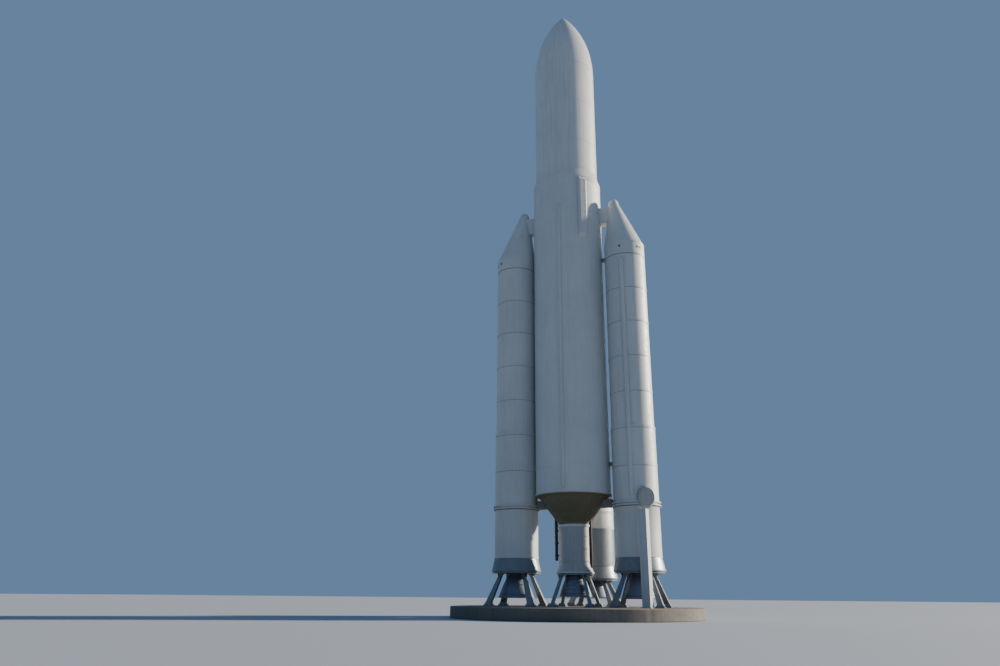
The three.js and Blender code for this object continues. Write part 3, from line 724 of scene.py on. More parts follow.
frame_low, frame_high = CONE_FRAME
turned("thrust_cone_skin", [
    (0.0, CONE_BOTTOM - CONE_FLANGE),
    (SHROUD_RADIUS, CONE_BOTTOM - CONE_FLANGE),
    (SHROUD_RADIUS + 0.012, CONE_BOTTOM - CONE_FLANGE + 0.01),
    (SHROUD_RADIUS + 0.012, CONE_BOTTOM - 0.01),
    (CONE_FOOT_RADIUS, CONE_BOTTOM),
    (cone_radius(frame_low), frame_low),
    (cone_radius(frame_low) + FRAME_RISE, frame_low + 0.01),
    (cone_radius(frame_high - 0.01) + FRAME_RISE, frame_high - 0.01),
    (cone_radius(frame_high), frame_high),
    (CONE_HEAD_RADIUS - 0.02, CONE_TOP - 0.05),
    (CONE_HEAD_RADIUS + 0.02, CONE_TOP - 0.045),
    (CONE_HEAD_RADIUS + 0.02, CONE_TOP - 0.002),
    (0.0, CONE_TOP - 0.002),
], cone_coat, "thrust_cone", sides=CONE_SIDES)
work = bmesh.new()
for index in range(CONE_RIBS):
    add_loft(work, [
        level((cone_radius(z), 0.0), 2.0 * RIB_RISE, width, z)
        for z, width in ((CONE_BOTTOM + 0.04, 0.018), (CONE_TOP - 0.06, 0.026))
    ], Matrix.Rotation(2.0 * math.pi * index / CONE_RIBS, 4, "Z"))
fit(welded("thrust_cone_ribs", work), cone_coat)


# Booster skirts and aft cases.
# The lowest part of each booster is a steel case round the nozzle's throat, with a flared skirt
# under it and a heavy attach ring on top, where the lower struts are pinned.
case_paint = weathered(
    "booster_white", "booster white", (0.60, 0.62, 0.61), (0.49, 0.51, 0.505), (0.38, 0.385, 0.37), 0.46,
    streaks=0.35, grain=0.001,
)
skirt_paint = weathered(
    "skirt_grey", "dull skirt paint", (0.21, 0.245, 0.27), (0.15, 0.17, 0.19), (0.3, 0.3, 0.29), 0.4, 0.35,
    patches=0.6,
)
# A near-black filler for the dark joints, used also for the painted shadow under each attach ring.
joint_filler_and_ring_shadow = weathered("booster_white", "dark joint filler and painted ring shadow", grey(0.035), grey(0.02), grey(0.08), 0.8)
CASE_RADIUS = 0.7625
AFT_RADIUS = 0.785
SKIRT_RIM = 0.885
SKIRT_BOTTOM = 1.53
SKIRT_TOP = 1.975
SKIRT_WALL = 0.035
SKIRT_RIVET = (0.006, 0.01, 6)
RECESS_RADIUS = 0.65
RECESS_TOP = 2.375
AFT_SEAM = 2.62
RING_BOTTOM = 3.675
RING_TOP = 3.825
RING_RADIUS = 0.85
RING_WEB = RING_RADIUS - 0.03
RING_BOLT = (0.014, 0.03, 6)
RING_LUGS = 12
BOOSTERS = [
    # name, centre, place: the left one is the right one turned half round its own axis
    (side, (x, 0.0), Matrix.Translation((x, 0.0, 0.0)) @ Matrix.Rotation(turn, 4, "Z"))
    for side, x, turn in (("left", LEFT_X, math.pi), ("right", RIGHT_X, 0.0))
]

for side, centre, place in BOOSTERS:
    turned(f"{side}_skirt_shell", [
        (AFT_RADIUS - SKIRT_WALL, SKIRT_TOP - GAP),
        (SKIRT_RIM - SKIRT_WALL, SKIRT_BOTTOM),
        (SKIRT_RIM, SKIRT_BOTTOM),
        (SKIRT_RIM + 0.008, SKIRT_BOTTOM + 0.008),
        (SKIRT_RIM + 0.008, SKIRT_BOTTOM + 0.04),
        (SKIRT_RIM - 0.01, SKIRT_BOTTOM + 0.045),
        (AFT_RADIUS, SKIRT_TOP - GAP),
    ], skirt_paint, f"{side}_booster_skirt", centre=centre)
    fasteners(
        f"{side}_skirt_rivets", skirt_paint, SKIRT_RIVET,
        SKIRT_RIM - 0.045, SKIRT_BOTTOM + 0.14, 60, 3, 0.12, taper=-0.0275, centre=centre,
    )
    turned(f"{side}_aft_case_shell", [
        (0.0, RECESS_TOP),
        (RECESS_RADIUS, RECESS_TOP),
        (RECESS_RADIUS, SKIRT_TOP),
        (AFT_RADIUS + 0.012, SKIRT_TOP),
        (AFT_RADIUS + 0.012, SKIRT_TOP + 0.05),
        (AFT_RADIUS, SKIRT_TOP + 0.055),
        (AFT_RADIUS, AFT_SEAM),
        (AFT_RADIUS + 0.004, AFT_SEAM + 0.002),
        (AFT_RADIUS + 0.004, AFT_SEAM + 0.018),
        (AFT_RADIUS, AFT_SEAM + 0.02),
        (AFT_RADIUS, RING_BOTTOM - 0.05),
        (AFT_RADIUS + 0.02, RING_BOTTOM - 0.01),
        (AFT_RADIUS + 0.02, RING_TOP - GAP),
        (0.0, RING_TOP - GAP),
    ], case_paint, f"{side}_booster_aft_case", centre=centre)
    turned(f"{side}_attach_ring", [
        (AFT_RADIUS, RING_BOTTOM),
        (RING_RADIUS - 0.006, RING_BOTTOM),
        (RING_RADIUS, RING_BOTTOM + 0.006),
        (RING_RADIUS, RING_BOTTOM + 0.038),
        (RING_WEB, RING_BOTTOM + 0.044),
        (RING_WEB, RING_TOP - 0.044),
        (RING_RADIUS, RING_TOP - 0.038),
        (RING_RADIUS, RING_TOP - 0.006),
        (RING_RADIUS - 0.006, RING_TOP),
        (AFT_RADIUS, RING_TOP),
    ], case_paint, centre=centre)
    # A dark band just under the attach ring, on the aft case: painted shadow of the ring.
    turned(
        f"{side}_attach_ring_painted_shadow",
        flat_band(AFT_RADIUS, AFT_RADIUS + 0.03, RING_BOTTOM - 0.022, RING_BOTTOM - GAP),
        ("skirt_grey", joint_filler_and_ring_shadow[1]), centre=centre,
    )
    fasteners(
        f"{side}_attach_ring_bolts", ("skirt_grey", bare_steel[1]), RING_BOLT,
        RING_WEB + 0.002, (RING_BOTTOM + RING_TOP) / 2, 72, centre=centre,
    )
    work = bmesh.new()
    for index in range(RING_LUGS):
        lug_turn = Matrix.Rotation(2.0 * math.pi * (index + 0.5) / RING_LUGS, 4, "Z")
        add_box(work, (RING_WEB, 0.0), 0.05, 0.02, RING_BOTTOM + 0.02, RING_TOP - 0.02, place @ lug_turn)
    fit(welded(f"{side}_attach_ring_webs", work), case_paint)


# Booster cases.
# Rolled steel cylinders pinned end to end. Each joint is a raised clevis band with two rows of
# pins, and a thin line of dark filler runs along its lower edge.
LOWER_TOP = 6.405
MIDDLE_TOP = 10.395
CASES_TOP = 13.05
JOINTS = (5.08, LOWER_TOP, 7.735, 9.065, MIDDLE_TOP, 11.72)
BAND_HEIGHT = 0.10
BAND_RISE = 0.011
BAND_SINK = 0.01
BAND_CUT = 0.003
FILLER_HEIGHT = 0.007
JOINT_PIN = (0.009, 0.006, 8)
PINS_ROUND = 64
PIN_ROWS = 0.044
CASES = (
    ("lower", AFT_RADIUS, RING_TOP, LOWER_TOP),
    ("middle", CASE_RADIUS, LOWER_TOP, MIDDLE_TOP),
    ("upper", CASE_RADIUS, MIDDLE_TOP, CASES_TOP),
)


def chamfered_band(radius, z, rise, chamfer):
    """The outline of a joint band about a height, with its outer edges cut back."""
    low, high, out = z - BAND_HEIGHT / 2, z + BAND_HEIGHT / 2, radius + rise
    return [
        (radius - BAND_SINK, low),
        (out - chamfer, low),
        (out, low + BAND_CUT),
        (out, high - BAND_CUT),
        (out - chamfer, high),
        (radius - BAND_SINK, high),
    ]


def joint_pins(name, radius, z, centre):
    """Two rows of pins round a joint band."""
    fasteners(
        name, case_paint, JOINT_PIN, radius + BAND_RISE + 0.001, z - PIN_ROWS / 2,
        PINS_ROUND, 2, PIN_ROWS, centre=centre,
    )


for side, centre, _ in BOOSTERS:
    for part, radius, low_z, high_z in CASES:
        drum = flat_band(0.0, radius, low_z, high_z - GAP)
        node = f"{side}_booster_{part}_case"
        turned(f"{side}_{part}_case_shell", drum, case_paint, node, centre=centre)
    for index, z in enumerate(JOINTS):
        radius = AFT_RADIUS if z <= LOWER_TOP else CASE_RADIUS
        edge = z - BAND_HEIGHT / 2
        band = chamfered_band(radius, z, BAND_RISE, BAND_CUT)
        filler = flat_band(radius - BAND_SINK, radius + 0.004, edge - FILLER_HEIGHT, edge)
        turned(f"{side}_case_joint_{index + 1}", band, case_paint, centre=centre)
        turned(f"{side}_joint_filler_{index + 1}", filler, joint_filler_and_ring_shadow, centre=centre)
        joint_pins(f"{side}_joint_pins_{index + 1}", radius, z, centre)


# Booster noses.
# A cylinder with the separation rockets' ports, and over it a cone that leans towards the core and
# ends in a round cap. The sheets are riveted to ring frames and to seams up the cone.
port_cover = weathered("booster_white", "faded port cover", grey(0.14), grey(0.1), grey(0.2), 0.6)
NOSE_BOTTOM = 13.05
NOSE_CONE = 13.6
NOSE_TOP = 15.55
NOSE_TIP_RADIUS = 0.20
NOSE_CAP = 0.225
NOSE_LEAN = 0.34
CAP_STEPS = 10
NOSE_STATIONS = (14.25, 14.9, NOSE_TOP - 0.08)
MIDDLE_FRAME = 14.5
FRAME_SINK = 0.008
NOSE_FRAMES = (
    # name, bottom, top, rise, finish
    ("base_line", NOSE_BOTTOM - 0.004, NOSE_BOTTOM + 0.014, 0.003, joint_filler_and_ring_shadow),
    ("base_frame", NOSE_BOTTOM + 0.014, NOSE_BOTTOM + 0.09, 0.008, case_paint),
    ("cone_frame", NOSE_CONE - 0.05, NOSE_CONE - 0.005, 0.006, case_paint),
    ("middle_frame", MIDDLE_FRAME, MIDDLE_FRAME + 0.03, 0.004, case_paint),
    ("cap_frame", NOSE_TOP - 0.05, NOSE_TOP - 0.01, 0.005, case_paint),
)
NOSE_SEAMS = 8
STRAP_HALF_WIDTH = 0.02
PORT_RADIUS = 0.046
PORT_HEIGHT = 13.37
PORT_ANGLES = (-93.0, -38.0, -27.0, 27.0, 54.0)
PORT_SCREWS = 10


def nose_climb(height):
    """How far up the cone a height lies, from 0 to 1."""
    return max(0.0, min(1.0, (height - NOSE_CONE) / (NOSE_TOP - NOSE_CONE)))


def nose_radius(height):
    return CASE_RADIUS + (NOSE_TIP_RADIUS - CASE_RADIUS) * nose_climb(height)


def moved(piece, matrix):
    """Puts a new piece's mesh in its place, before the piece is fitted."""
    piece.data.transform(matrix)
    return piece


def leaned(piece, place):
    """Leans a nose piece towards the core, the more the higher, and puts it in its place."""
    for vertex in piece.data.vertices:
        vertex.co.x -= NOSE_LEAN * nose_climb(vertex.co.z)
    return moved(piece, place)


for side, centre, place in BOOSTERS:
    outline = [(0.0, NOSE_BOTTOM), (CASE_RADIUS, NOSE_BOTTOM), (CASE_RADIUS, NOSE_CONE - 0.03)]
    outline.append((nose_radius(NOSE_CONE + 0.03) - GAP, NOSE_CONE + 0.03))
    outline += [(nose_radius(z), z) for z in NOSE_STATIONS]
    for step in range(1, CAP_STEPS):
        angle = math.pi / 2 * step / CAP_STEPS
        outline.append((NOSE_TIP_RADIUS * math.cos(angle), NOSE_TOP + NOSE_CAP * math.sin(angle)))
    outline.append((0.0, NOSE_TOP + NOSE_CAP))
    nose = revolve(f"{side}_nose_shell", outline, sharp=40.0)
    fit(leaned(nose, place), case_paint, f"{side}_booster_nose")
    for label, low_z, high_z, rise, finish in NOSE_FRAMES:
        low_radius, high_radius = nose_radius(low_z), nose_radius(high_z)
        ring = revolve(f"{side}_nose_{label}", [
            (low_radius - FRAME_SINK, low_z),
            (low_radius + rise, low_z),
            (high_radius + rise, high_z),
            (high_radius - FRAME_SINK, high_z),
        ])
        fit(leaned(ring, place), finish)
    fasteners(
        f"{side}_nose_base_rivets", case_paint, SMALL_RIVET,
        CASE_RADIUS + 0.009, NOSE_BOTTOM + 0.042, 80, 2, 0.03, centre=centre,
    )
    work = bmesh.new()
    for index in range(NOSE_SEAMS):
        add_loft(work, [
            [
                (nose_radius(z) + out, half, z)
                for out, half in (
                    (-0.005, -STRAP_HALF_WIDTH), (0.004, -STRAP_HALF_WIDTH),
                    (0.004, STRAP_HALF_WIDTH), (-0.005, STRAP_HALF_WIDTH),
                )
            ]
            for z in (NOSE_CONE, NOSE_TOP - 0.06)
        ], Matrix.Rotation(2.0 * math.pi * (index + 0.5) / NOSE_SEAMS, 4, "Z"))
    fit(leaned(welded(f"{side}_nose_seam_straps", work), place), case_paint)
    for index, angle in enumerate(PORT_ANGLES):
        outward = Vector((math.cos(math.radians(angle)), math.sin(math.radians(angle)), 0.0))
        start = outward * (CASE_RADIUS - 0.02) + UP * PORT_HEIGHT
        work = bmesh.new()
        add_bar(work, PORT_RADIUS, start, outward * 0.028, 28)
        port = finished(f"{side}_separation_port_{index + 1}", work)
        fit(moved(port, place), port_cover)
        work = bmesh.new()
        for spot in range(PORT_SCREWS):
            around = Matrix.Rotation(2.0 * math.pi * spot / PORT_SCREWS, 4, outward)
            rim = start + outward * 0.016 + around @ (UP * (PORT_RADIUS + 0.012))
            add_bar(work, 0.005, rim, outward * 0.01, 6)
        screws = finished(f"{side}_port_screws_{index + 1}", work)
        fit(moved(screws, place), case_paint)


# Booster raceways and pods.
# A pressed-sheet duct covers the cables up each booster, held by straps. Low on each booster an
# oval drum with a screwed lid covers the strut's fittings.
duct_paint = weathered(
    "raceway_paint", "duct white", (0.59, 0.61, 0.60), (0.48, 0.5, 0.495), (0.38, 0.38, 0.36), 0.48,
    streaks=0.45,
)
# The pod paint is the booster white made darker: painted shade on the drum, whose front faces away from
# the sun.
pod_white_painted_shade = weathered(
    "booster_white", "pod white with painted shade", (0.41, 0.425, 0.41), (0.33, 0.34, 0.33), (0.25, 0.25, 0.24), 0.5,
)
STRAP_HALF_HEIGHT = 0.018
STRAP_RISE = 0.004
POD_HALF_WIDTH = 0.305
POD_HALF_HEIGHT = 0.37
POD_DEPTH = 0.19
POD_BEVEL = 0.05
POD_GROOVE = 0.012
POD_HEIGHT = 3.925
POD_AZIMUTH = 33.0
POD_SCREWS = 24


def duct(name, node, place, radius, width, proud, low_z, high_z, strap_pitch):
    """A long box duct with chamfered edges and sloping ends, strapped to a round body at -Y."""
    half, chamfer, slope = width / 2, proud * 0.4, proud * 1.2

    def section(half, flat, base, shoulder, top, z):
        sides = (-half, base), (half, base), (half, shoulder), (flat, top), (-flat, top), (-half, shoulder)
        return [(x, -(radius + out), z) for x, out in sides]

    work = bmesh.new()
    add_loft(work, [
        section(half, half - chamfer, -0.012, max(0.0, rise - chamfer), rise, z)
        for z, rise in (
            (low_z, 0.12 * proud), (low_z + slope, proud), (high_z - slope, proud), (high_z, 0.12 * proud),
        )
    ], place)
    fit(welded(name, work, 20.0), duct_paint, node)
    work = bmesh.new()
    length = high_z - low_z - 2 * slope
    count = max(1, round(length / strap_pitch))
    for index in range(count + 1):
        middle = low_z + slope + length * index / count
        add_loft(work, [
            section(
                half + STRAP_RISE, half - chamfer + 0.001, -0.01,
                proud - chamfer + 0.002, proud + STRAP_RISE, z,
            )
            for z in (middle - STRAP_HALF_HEIGHT, middle + STRAP_HALF_HEIGHT)
        ], place)
    fit(welded(f"{name}_straps", work, 20.0), duct_paint)


for side, _, place in BOOSTERS:
    duct(
        f"{side}_booster_duct", f"{side}_booster_raceway", place, AFT_RADIUS,
        width=0.15, proud=0.08, low_z=3.95, high_z=12.9, strap_pitch=0.665,
    )
    pod_place = (
        place @ Matrix.Rotation(math.radians(POD_AZIMUTH), 4, "Z")
        @ Matrix.Translation((0.0, -AFT_RADIUS, POD_HEIGHT))
        @ Matrix.Scale(POD_HALF_HEIGHT / POD_HALF_WIDTH, 4, (0.0, 0.0, 1.0))
        @ Matrix.Rotation(math.pi / 2, 4, "X")
    )
    drum = revolve(f"{side}_pod_drum", [
        (0.0, -0.1),
        (POD_HALF_WIDTH, -0.1),
        (POD_HALF_WIDTH, POD_DEPTH - POD_BEVEL - POD_GROOVE),
        (POD_HALF_WIDTH - POD_GROOVE, POD_DEPTH - POD_BEVEL),
        (POD_HALF_WIDTH - POD_GROOVE, POD_DEPTH - POD_BEVEL + 0.006),
        (POD_HALF_WIDTH - POD_BEVEL, POD_DEPTH),
        (0.0, POD_DEPTH),
    ], 64)
    fit(moved(drum, pod_place), pod_white_painted_shade, f"{side}_booster_pod")
    work = bmesh.new()
    for spot in range(POD_SCREWS):
        around = Matrix.Rotation(2.0 * math.pi * spot / POD_SCREWS, 4, "Z")
        head = around @ Vector((POD_HALF_WIDTH - POD_BEVEL - 0.02, 0.0, POD_DEPTH - 0.003))
        add_bar(work, 0.007, head, UP * 0.008, 8)
    screws = finished(f"{side}_pod_screws", work)
    fit(moved(screws, pod_place), ("booster_white", bare_steel[1]))


# Cable trunk.
# A square sheet-metal duct brings cables up from the plinth to the right booster's pod. Its covers
# are joined by collars, it stands on a foot flange, and three brackets hold it to the aft case.
# The trunk paint is the duct white made darker and bluer: painted shade on the trunk, whose front faces
# away from the sun.
trunk_white_painted_shade = weathered(
    "raceway_paint", "duct white with painted blue shade", (0.46, 0.51, 0.535), (0.38, 0.42, 0.44),
    (0.3, 0.31, 0.3), 0.45,
)
TRUNK_X = 2.645
TRUNK_Y = -1.02
TRUNK_WIDTH = 0.28
TRUNK_TURN = -12.0
TRUNK_TOP = 3.5
TRUNK_BRACKETS = (2.2, 2.8, 3.35)
TRUNK_COLLARS = (1.0, 1.62, 2.5, 3.1)
TRUNK_FLANGE = 0.04
COLLAR_RISE = 0.006
BRACKET_END = -0.66
trunk_place = (
    Matrix.Translation((TRUNK_X, TRUNK_Y, 0.0)) @ Matrix.Rotation(math.radians(TRUNK_TURN), 4, "Z")
)
trunk_axis = (0.0, 0.0)
work = bmesh.new()
add_box(work, trunk_axis, TRUNK_WIDTH, TRUNK_WIDTH, PLINTH_TOP + GAP, TRUNK_TOP, trunk_place)
fit(welded("cable_trunk_post", work), trunk_white_painted_shade, "cable_trunk")
work = bmesh.new()
for low_z, height, rise in (
    (PLINTH_TOP + GAP, 0.02, TRUNK_FLANGE),
    *((z, 0.04, COLLAR_RISE) for z in TRUNK_COLLARS),
    (TRUNK_TOP - 0.024, 0.02, COLLAR_RISE),
):
    width = TRUNK_WIDTH + 2.0 * rise
    add_box(work, trunk_axis, width, width, low_z, low_z + height, trunk_place)
bolts_apart = TRUNK_WIDTH + TRUNK_FLANGE
for spot in level(trunk_axis, bolts_apart, bolts_apart, PLINTH_TOP + 0.02):
    add_bar(work, 0.01, trunk_place @ Vector(spot), UP * 0.014, 6)
for z in TRUNK_BRACKETS:
    add_box(work, (TRUNK_X, (TRUNK_Y + BRACKET_END) / 2), 0.12, BRACKET_END - TRUNK_Y, z, z + 0.05)
fit(welded("cable_trunk_trim", work), trunk_white_painted_shade)


# Ties and struts.
# Each booster is held to the core by a forward fitting under its nose, two slim ties and a heavy
# aft strut from the attach ring to the thrust cone. The rear column has a strut of the same kind.
strut_paint = weathered(
    "cone_dark", "dull strut paint", (0.2, 0.2, 0.19), (0.15, 0.148, 0.135), (0.27, 0.25, 0.22), 0.6,
)
STRUT_EDGE = 0.012
TIE_EDGE = 0.006
for side in ("left", "right"):
    softened(f"{side}_forward_attachment", case_paint, STRUT_EDGE)
    softened(f"{side}_middle_tie", bare_steel, TIE_EDGE)
    softened(f"{side}_lower_tie", bare_steel, TIE_EDGE)
    softened(f"{side}_aft_strut", strut_paint, STRUT_EDGE)
softened("rear_strut", strut_paint, STRUT_EDGE)


# Core stage.
# Three welded aluminium bodies on one line: the aft skirt, the long tank and the forward skirt.
# Weld beads run round and up the tank, and the skirts are riveted and have bolted access doors.
core_paint = weathered(
    "core_white", "core white", (0.59, 0.62, 0.615), (0.49, 0.515, 0.51), (0.40, 0.41, 0.40), 0.44,
    streaks=0.3, grain=0.001,
)
ochre_sealant = weathered(
    "core_white", "ochre sealant", (0.33, 0.28, 0.15), (0.24, 0.19, 0.1), (0.15, 0.12, 0.08), 0.7,
)
CORE_RADIUS = 1.35
CORE_SIDES = 160
CORE_BOTTOM = 4.1
CORE_SKIRT_TOP = 5.08
CORE_TANK_TOP = 15.05
CORE_TOP = 16.5
CORE_RIM = CORE_RADIUS + 0.02
CORE_RIM_TOP = CORE_BOTTOM + 0.07
RIM_BOLT = (0.009, 0.008, 6)
FLAT_RIVET = (0.006, 0.005, 6)
PANEL_SCREW = (0.006, 0.006, 6)
WELD_HEIGHTS = (5.9, 7.15, 8.4, 9.65, 10.9, 12.15, 13.4, 14.4)
WELD_RISE = 0.0035
WELD_WIDTH = 0.02
SEAM_WIDTH = 0.014
BARREL_SEAMS = 4
turned("core_skirt_shell", [
    (0.0, CORE_BOTTOM),
    (CORE_RIM - 0.005, CORE_BOTTOM),
    (CORE_RIM, CORE_BOTTOM + 0.005),
    (CORE_RIM, CORE_RIM_TOP),
    (CORE_RADIUS, CORE_RIM_TOP + 0.01),
    (CORE_RADIUS, CORE_SKIRT_TOP - GAP),
    (0.0, CORE_SKIRT_TOP - GAP),
], core_paint, "core_aft_skirt", sides=CORE_SIDES)
lip = flat_band(CORE_RADIUS - 0.08, CORE_RIM + 0.004, CORE_BOTTOM - 0.002, CORE_BOTTOM + 0.022)
turned("core_skirt_lip", lip, ochre_sealant, sides=CORE_SIDES)
fasteners("core_skirt_rim_bolts", core_paint, RIM_BOLT, CORE_RIM + 0.002, CORE_BOTTOM + 0.048, 144)
fasteners(
    "core_skirt_rivets", core_paint, FLAT_RIVET, CORE_RADIUS + 0.001, CORE_BOTTOM + 0.2, 120, 4, 0.2,
)
tank = flat_band(0.0, CORE_RADIUS, CORE_SKIRT_TOP, CORE_TANK_TOP - GAP)
turned("core_tank_shell", tank, core_paint, "core_main_tank", sides=CORE_SIDES)
for index, z in enumerate(WELD_HEIGHTS):
    turned(f"core_tank_weld_{index + 1}", [
        (CORE_RADIUS - 0.004, z - WELD_WIDTH / 2),
        (CORE_RADIUS + WELD_RISE, z - WELD_WIDTH / 4),
        (CORE_RADIUS + WELD_RISE, z + WELD_WIDTH / 4),
        (CORE_RADIUS - 0.004, z + WELD_WIDTH / 2),
    ], core_paint, sides=CORE_SIDES)
work = bmesh.new()
barrels = [CORE_SKIRT_TOP, *WELD_HEIGHTS, CORE_TANK_TOP]
for index, (low_z, high_z) in enumerate(zip(barrels, barrels[1:])):
    for seam in range(BARREL_SEAMS):
        angle = math.radians(21.0 + 45.0 * (index % 2)) + 2.0 * math.pi * seam / BARREL_SEAMS
        add_box(
            work, (CORE_RADIUS, 0.0), 2.0 * WELD_RISE, SEAM_WIDTH, low_z + 0.012, high_z - 0.012,
            Matrix.Rotation(angle, 4, "Z"),
        )
fit(welded("core_tank_seam_welds", work), core_paint)
forward = flat_band(0.0, CORE_RADIUS, CORE_TANK_TOP, CORE_TOP - GAP)
turned("core_forward_shell", forward, core_paint, "core_forward_skirt", sides=CORE_SIDES)
for index, z in enumerate((CORE_SKIRT_TOP, CORE_TANK_TOP, CORE_TOP - 0.06)):
    ring = chamfered_band(CORE_RADIUS, z, 0.010, 0.002)
    turned(f"core_ring_frame_{index + 1}", ring, core_paint, sides=CORE_SIDES)
    fasteners(
        f"core_ring_rivets_{index + 1}", core_paint, PANEL_SCREW,
        CORE_RADIUS + 0.011, z - 0.028, 140, 2, 0.056,
    )
fasteners(
    "core_forward_rivets", core_paint, FLAT_RIVET,
    CORE_RADIUS + 0.001, CORE_TANK_TOP + 0.25, 100, 4, 0.28,
)
CORE_DOORS = (
    # degrees round from +X, height of the middle, width in degrees, height
    (-112.0, 4.62, 11.0, 0.42),
    (-58.0, 15.72, 12.0, 0.46),
    (-128.0, 15.62, 8.0, 0.34),
    (62.0, 4.62, 11.0, 0.42),
    (118.0, 15.72, 12.0, 0.46),
)
DOOR_RISE = 0.006
DOOR_SIDES = 12


def door(name, finish, shell, angle, z, width, height):
    """A thin curved panel on a round shell, with the row of sizes that CORE_DOORS gives."""
    panel = flat_band(shell - 0.01, shell + DOOR_RISE, z - height / 2, z + height / 2)
    turned(
        name, panel, finish, sides=DOOR_SIDES,
        start=math.radians(angle - width / 2), sweep=math.radians(width),
    )


for index, (angle, z, width, height) in enumerate(CORE_DOORS):
    door(f"core_access_door_{index + 1}", core_paint, CORE_RADIUS, angle, z, width, height)
    edge = math.radians(width * 0.86)
    bottom = z - height / 2
    for label, low_row, rows, pitch, count in (
        ("ends", bottom + 0.02, 2, height - 0.04, 9),
        ("sides", bottom + 0.07, 6, (height - 0.14) / 5, 2),
    ):
        fasteners(
            f"core_door_{label}_{index + 1}", core_paint, PANEL_SCREW,
            CORE_RADIUS + DOOR_RISE + 0.001, low_row, count, rows, pitch,
            start=math.radians(angle) - edge / 2, sweep=edge * count / (count - 1),
        )


# Core raceways.
# Two ducts on the core: a slim one up the front for cables, and a wide short one on the right of
# the front, beside the forward fitting.
SIDE_DUCT_AZIMUTH = 40.0
duct(
    "core_front_duct", "core_front_raceway", Matrix.Identity(4), CORE_RADIUS,
    width=0.13, proud=0.07, low_z=4.225, high_z=15.25, strap_pitch=0.7,
)
duct(
    "core_side_duct", "core_side_raceway",
    Matrix.Rotation(math.radians(SIDE_DUCT_AZIMUTH), 4, "Z"), CORE_RADIUS,
    width=0.35, proud=0.15, low_z=13.8, high_z=16.45, strap_pitch=0.44,
)


# Fairing adapter and payload fairing.
# A short riveted cone steps in from the core to the fairing. The fairing is two thin composite
# half shells bolted along a split line, with ring joints, vent holes and small bolted doors.
fairing_paint = weathered(
    "fairing_white", "fairing white", (0.62, 0.64, 0.635), (0.50, 0.52, 0.515), (0.34, 0.34, 0.325), 0.4,
    streaks=0.4, patches=0.45, grain=0.0008,
)
FAIRING_RADIUS = 1.25
FAIRING_BOTTOM = 16.95
FAIRING_WALL = 0.04
FAIRING_SIDES = 80
SPLIT_ANGLE = 0.0002
OGIVE_BOTTOM = 22.065
OGIVE_LENGTH = 3.25
TIP_RADIUS = 0.125
OGIVE_STEPS = 26
TIP_STEPS = 8
ADAPTER_RIVET = (0.006, 0.008, 6)
SHELL_SCREW = (0.005, 0.005, 6)
VENT = (0.02, 0.004, 20)
turned("fairing_adapter_shell", [
    (0.0, CORE_TOP),
    (CORE_RADIUS, CORE_TOP),
    (CORE_RADIUS + 0.008, CORE_TOP + 0.005),
    (CORE_RADIUS + 0.006, CORE_TOP + 0.06),
    (CORE_RADIUS - 0.018, CORE_TOP + 0.065),
    (FAIRING_RADIUS + 0.006, FAIRING_BOTTOM - 0.06),
    (FAIRING_RADIUS + 0.012, FAIRING_BOTTOM - 0.055),
    (FAIRING_RADIUS + 0.012, FAIRING_BOTTOM - GAP),
    (0.0, FAIRING_BOTTOM - GAP),
], fairing_paint, "fairing_adapter", sides=CORE_SIDES)
fasteners(
    "adapter_rivets", fairing_paint, ADAPTER_RIVET,
    CORE_RADIUS - 0.036, CORE_TOP + 0.14, 120, 3, 0.09, taper=-0.02,
)


def ogive(radius, length):
    """The fairing's nose as (radius, height): a tangent arc, and a round tip of the same slope."""
    arc = (radius ** 2 + length ** 2) / (2.0 * radius)
    centre = length - math.sqrt((arc - TIP_RADIUS) ** 2 - (arc - radius) ** 2)
    touch_radius = TIP_RADIUS * (arc - radius) / (arc - TIP_RADIUS)
    touch = centre - math.sqrt(TIP_RADIUS ** 2 - touch_radius ** 2)
    points = []
    for step in range(OGIVE_STEPS + 1):
        climb = (length - touch) * step / OGIVE_STEPS
        points.append((math.sqrt(arc ** 2 - climb ** 2) + radius - arc, OGIVE_BOTTOM + climb))
    for step in range(1, TIP_STEPS):
        angle = math.asin(touch_radius / TIP_RADIUS) * (1.0 - step / TIP_STEPS)
        height = OGIVE_BOTTOM + length - centre + TIP_RADIUS * math.cos(angle)
        points.append((TIP_RADIUS * math.sin(angle), height))
    points.append((0.0, OGIVE_BOTTOM + length - centre + TIP_RADIUS))
    return points


outer_ogive = ogive(FAIRING_RADIUS, OGIVE_LENGTH)
inner_ogive = ogive(FAIRING_RADIUS - FAIRING_WALL, OGIVE_LENGTH - FAIRING_WALL)
for half, start in (("front", math.pi), ("rear", 0.0)):
    turned(f"fairing_{half}_shell", [
        *inner_ogive[::-1],
        (FAIRING_RADIUS - FAIRING_WALL, FAIRING_BOTTOM),
        (FAIRING_RADIUS, FAIRING_BOTTOM),
        *outer_ogive,
    ], fairing_paint, f"fairing_{half}_half",
        sides=FAIRING_SIDES, start=start + SPLIT_ANGLE, sweep=math.pi - 2.0 * SPLIT_ANGLE)
FAIRING_JOINTS = (17.02, 18.3, 20.2, OGIVE_BOTTOM)
for index, z in enumerate(FAIRING_JOINTS):
    band = flat_band(FAIRING_RADIUS - 0.006, FAIRING_RADIUS + 0.004, z - 0.03, z + 0.02)
    turned(f"fairing_ring_joint_{index + 1}", band, fairing_paint, sides=CORE_SIDES)
    fasteners(
        f"fairing_joint_screws_{index + 1}", fairing_paint, SHELL_SCREW,
        FAIRING_RADIUS + 0.005, z - 0.005, 120,
    )
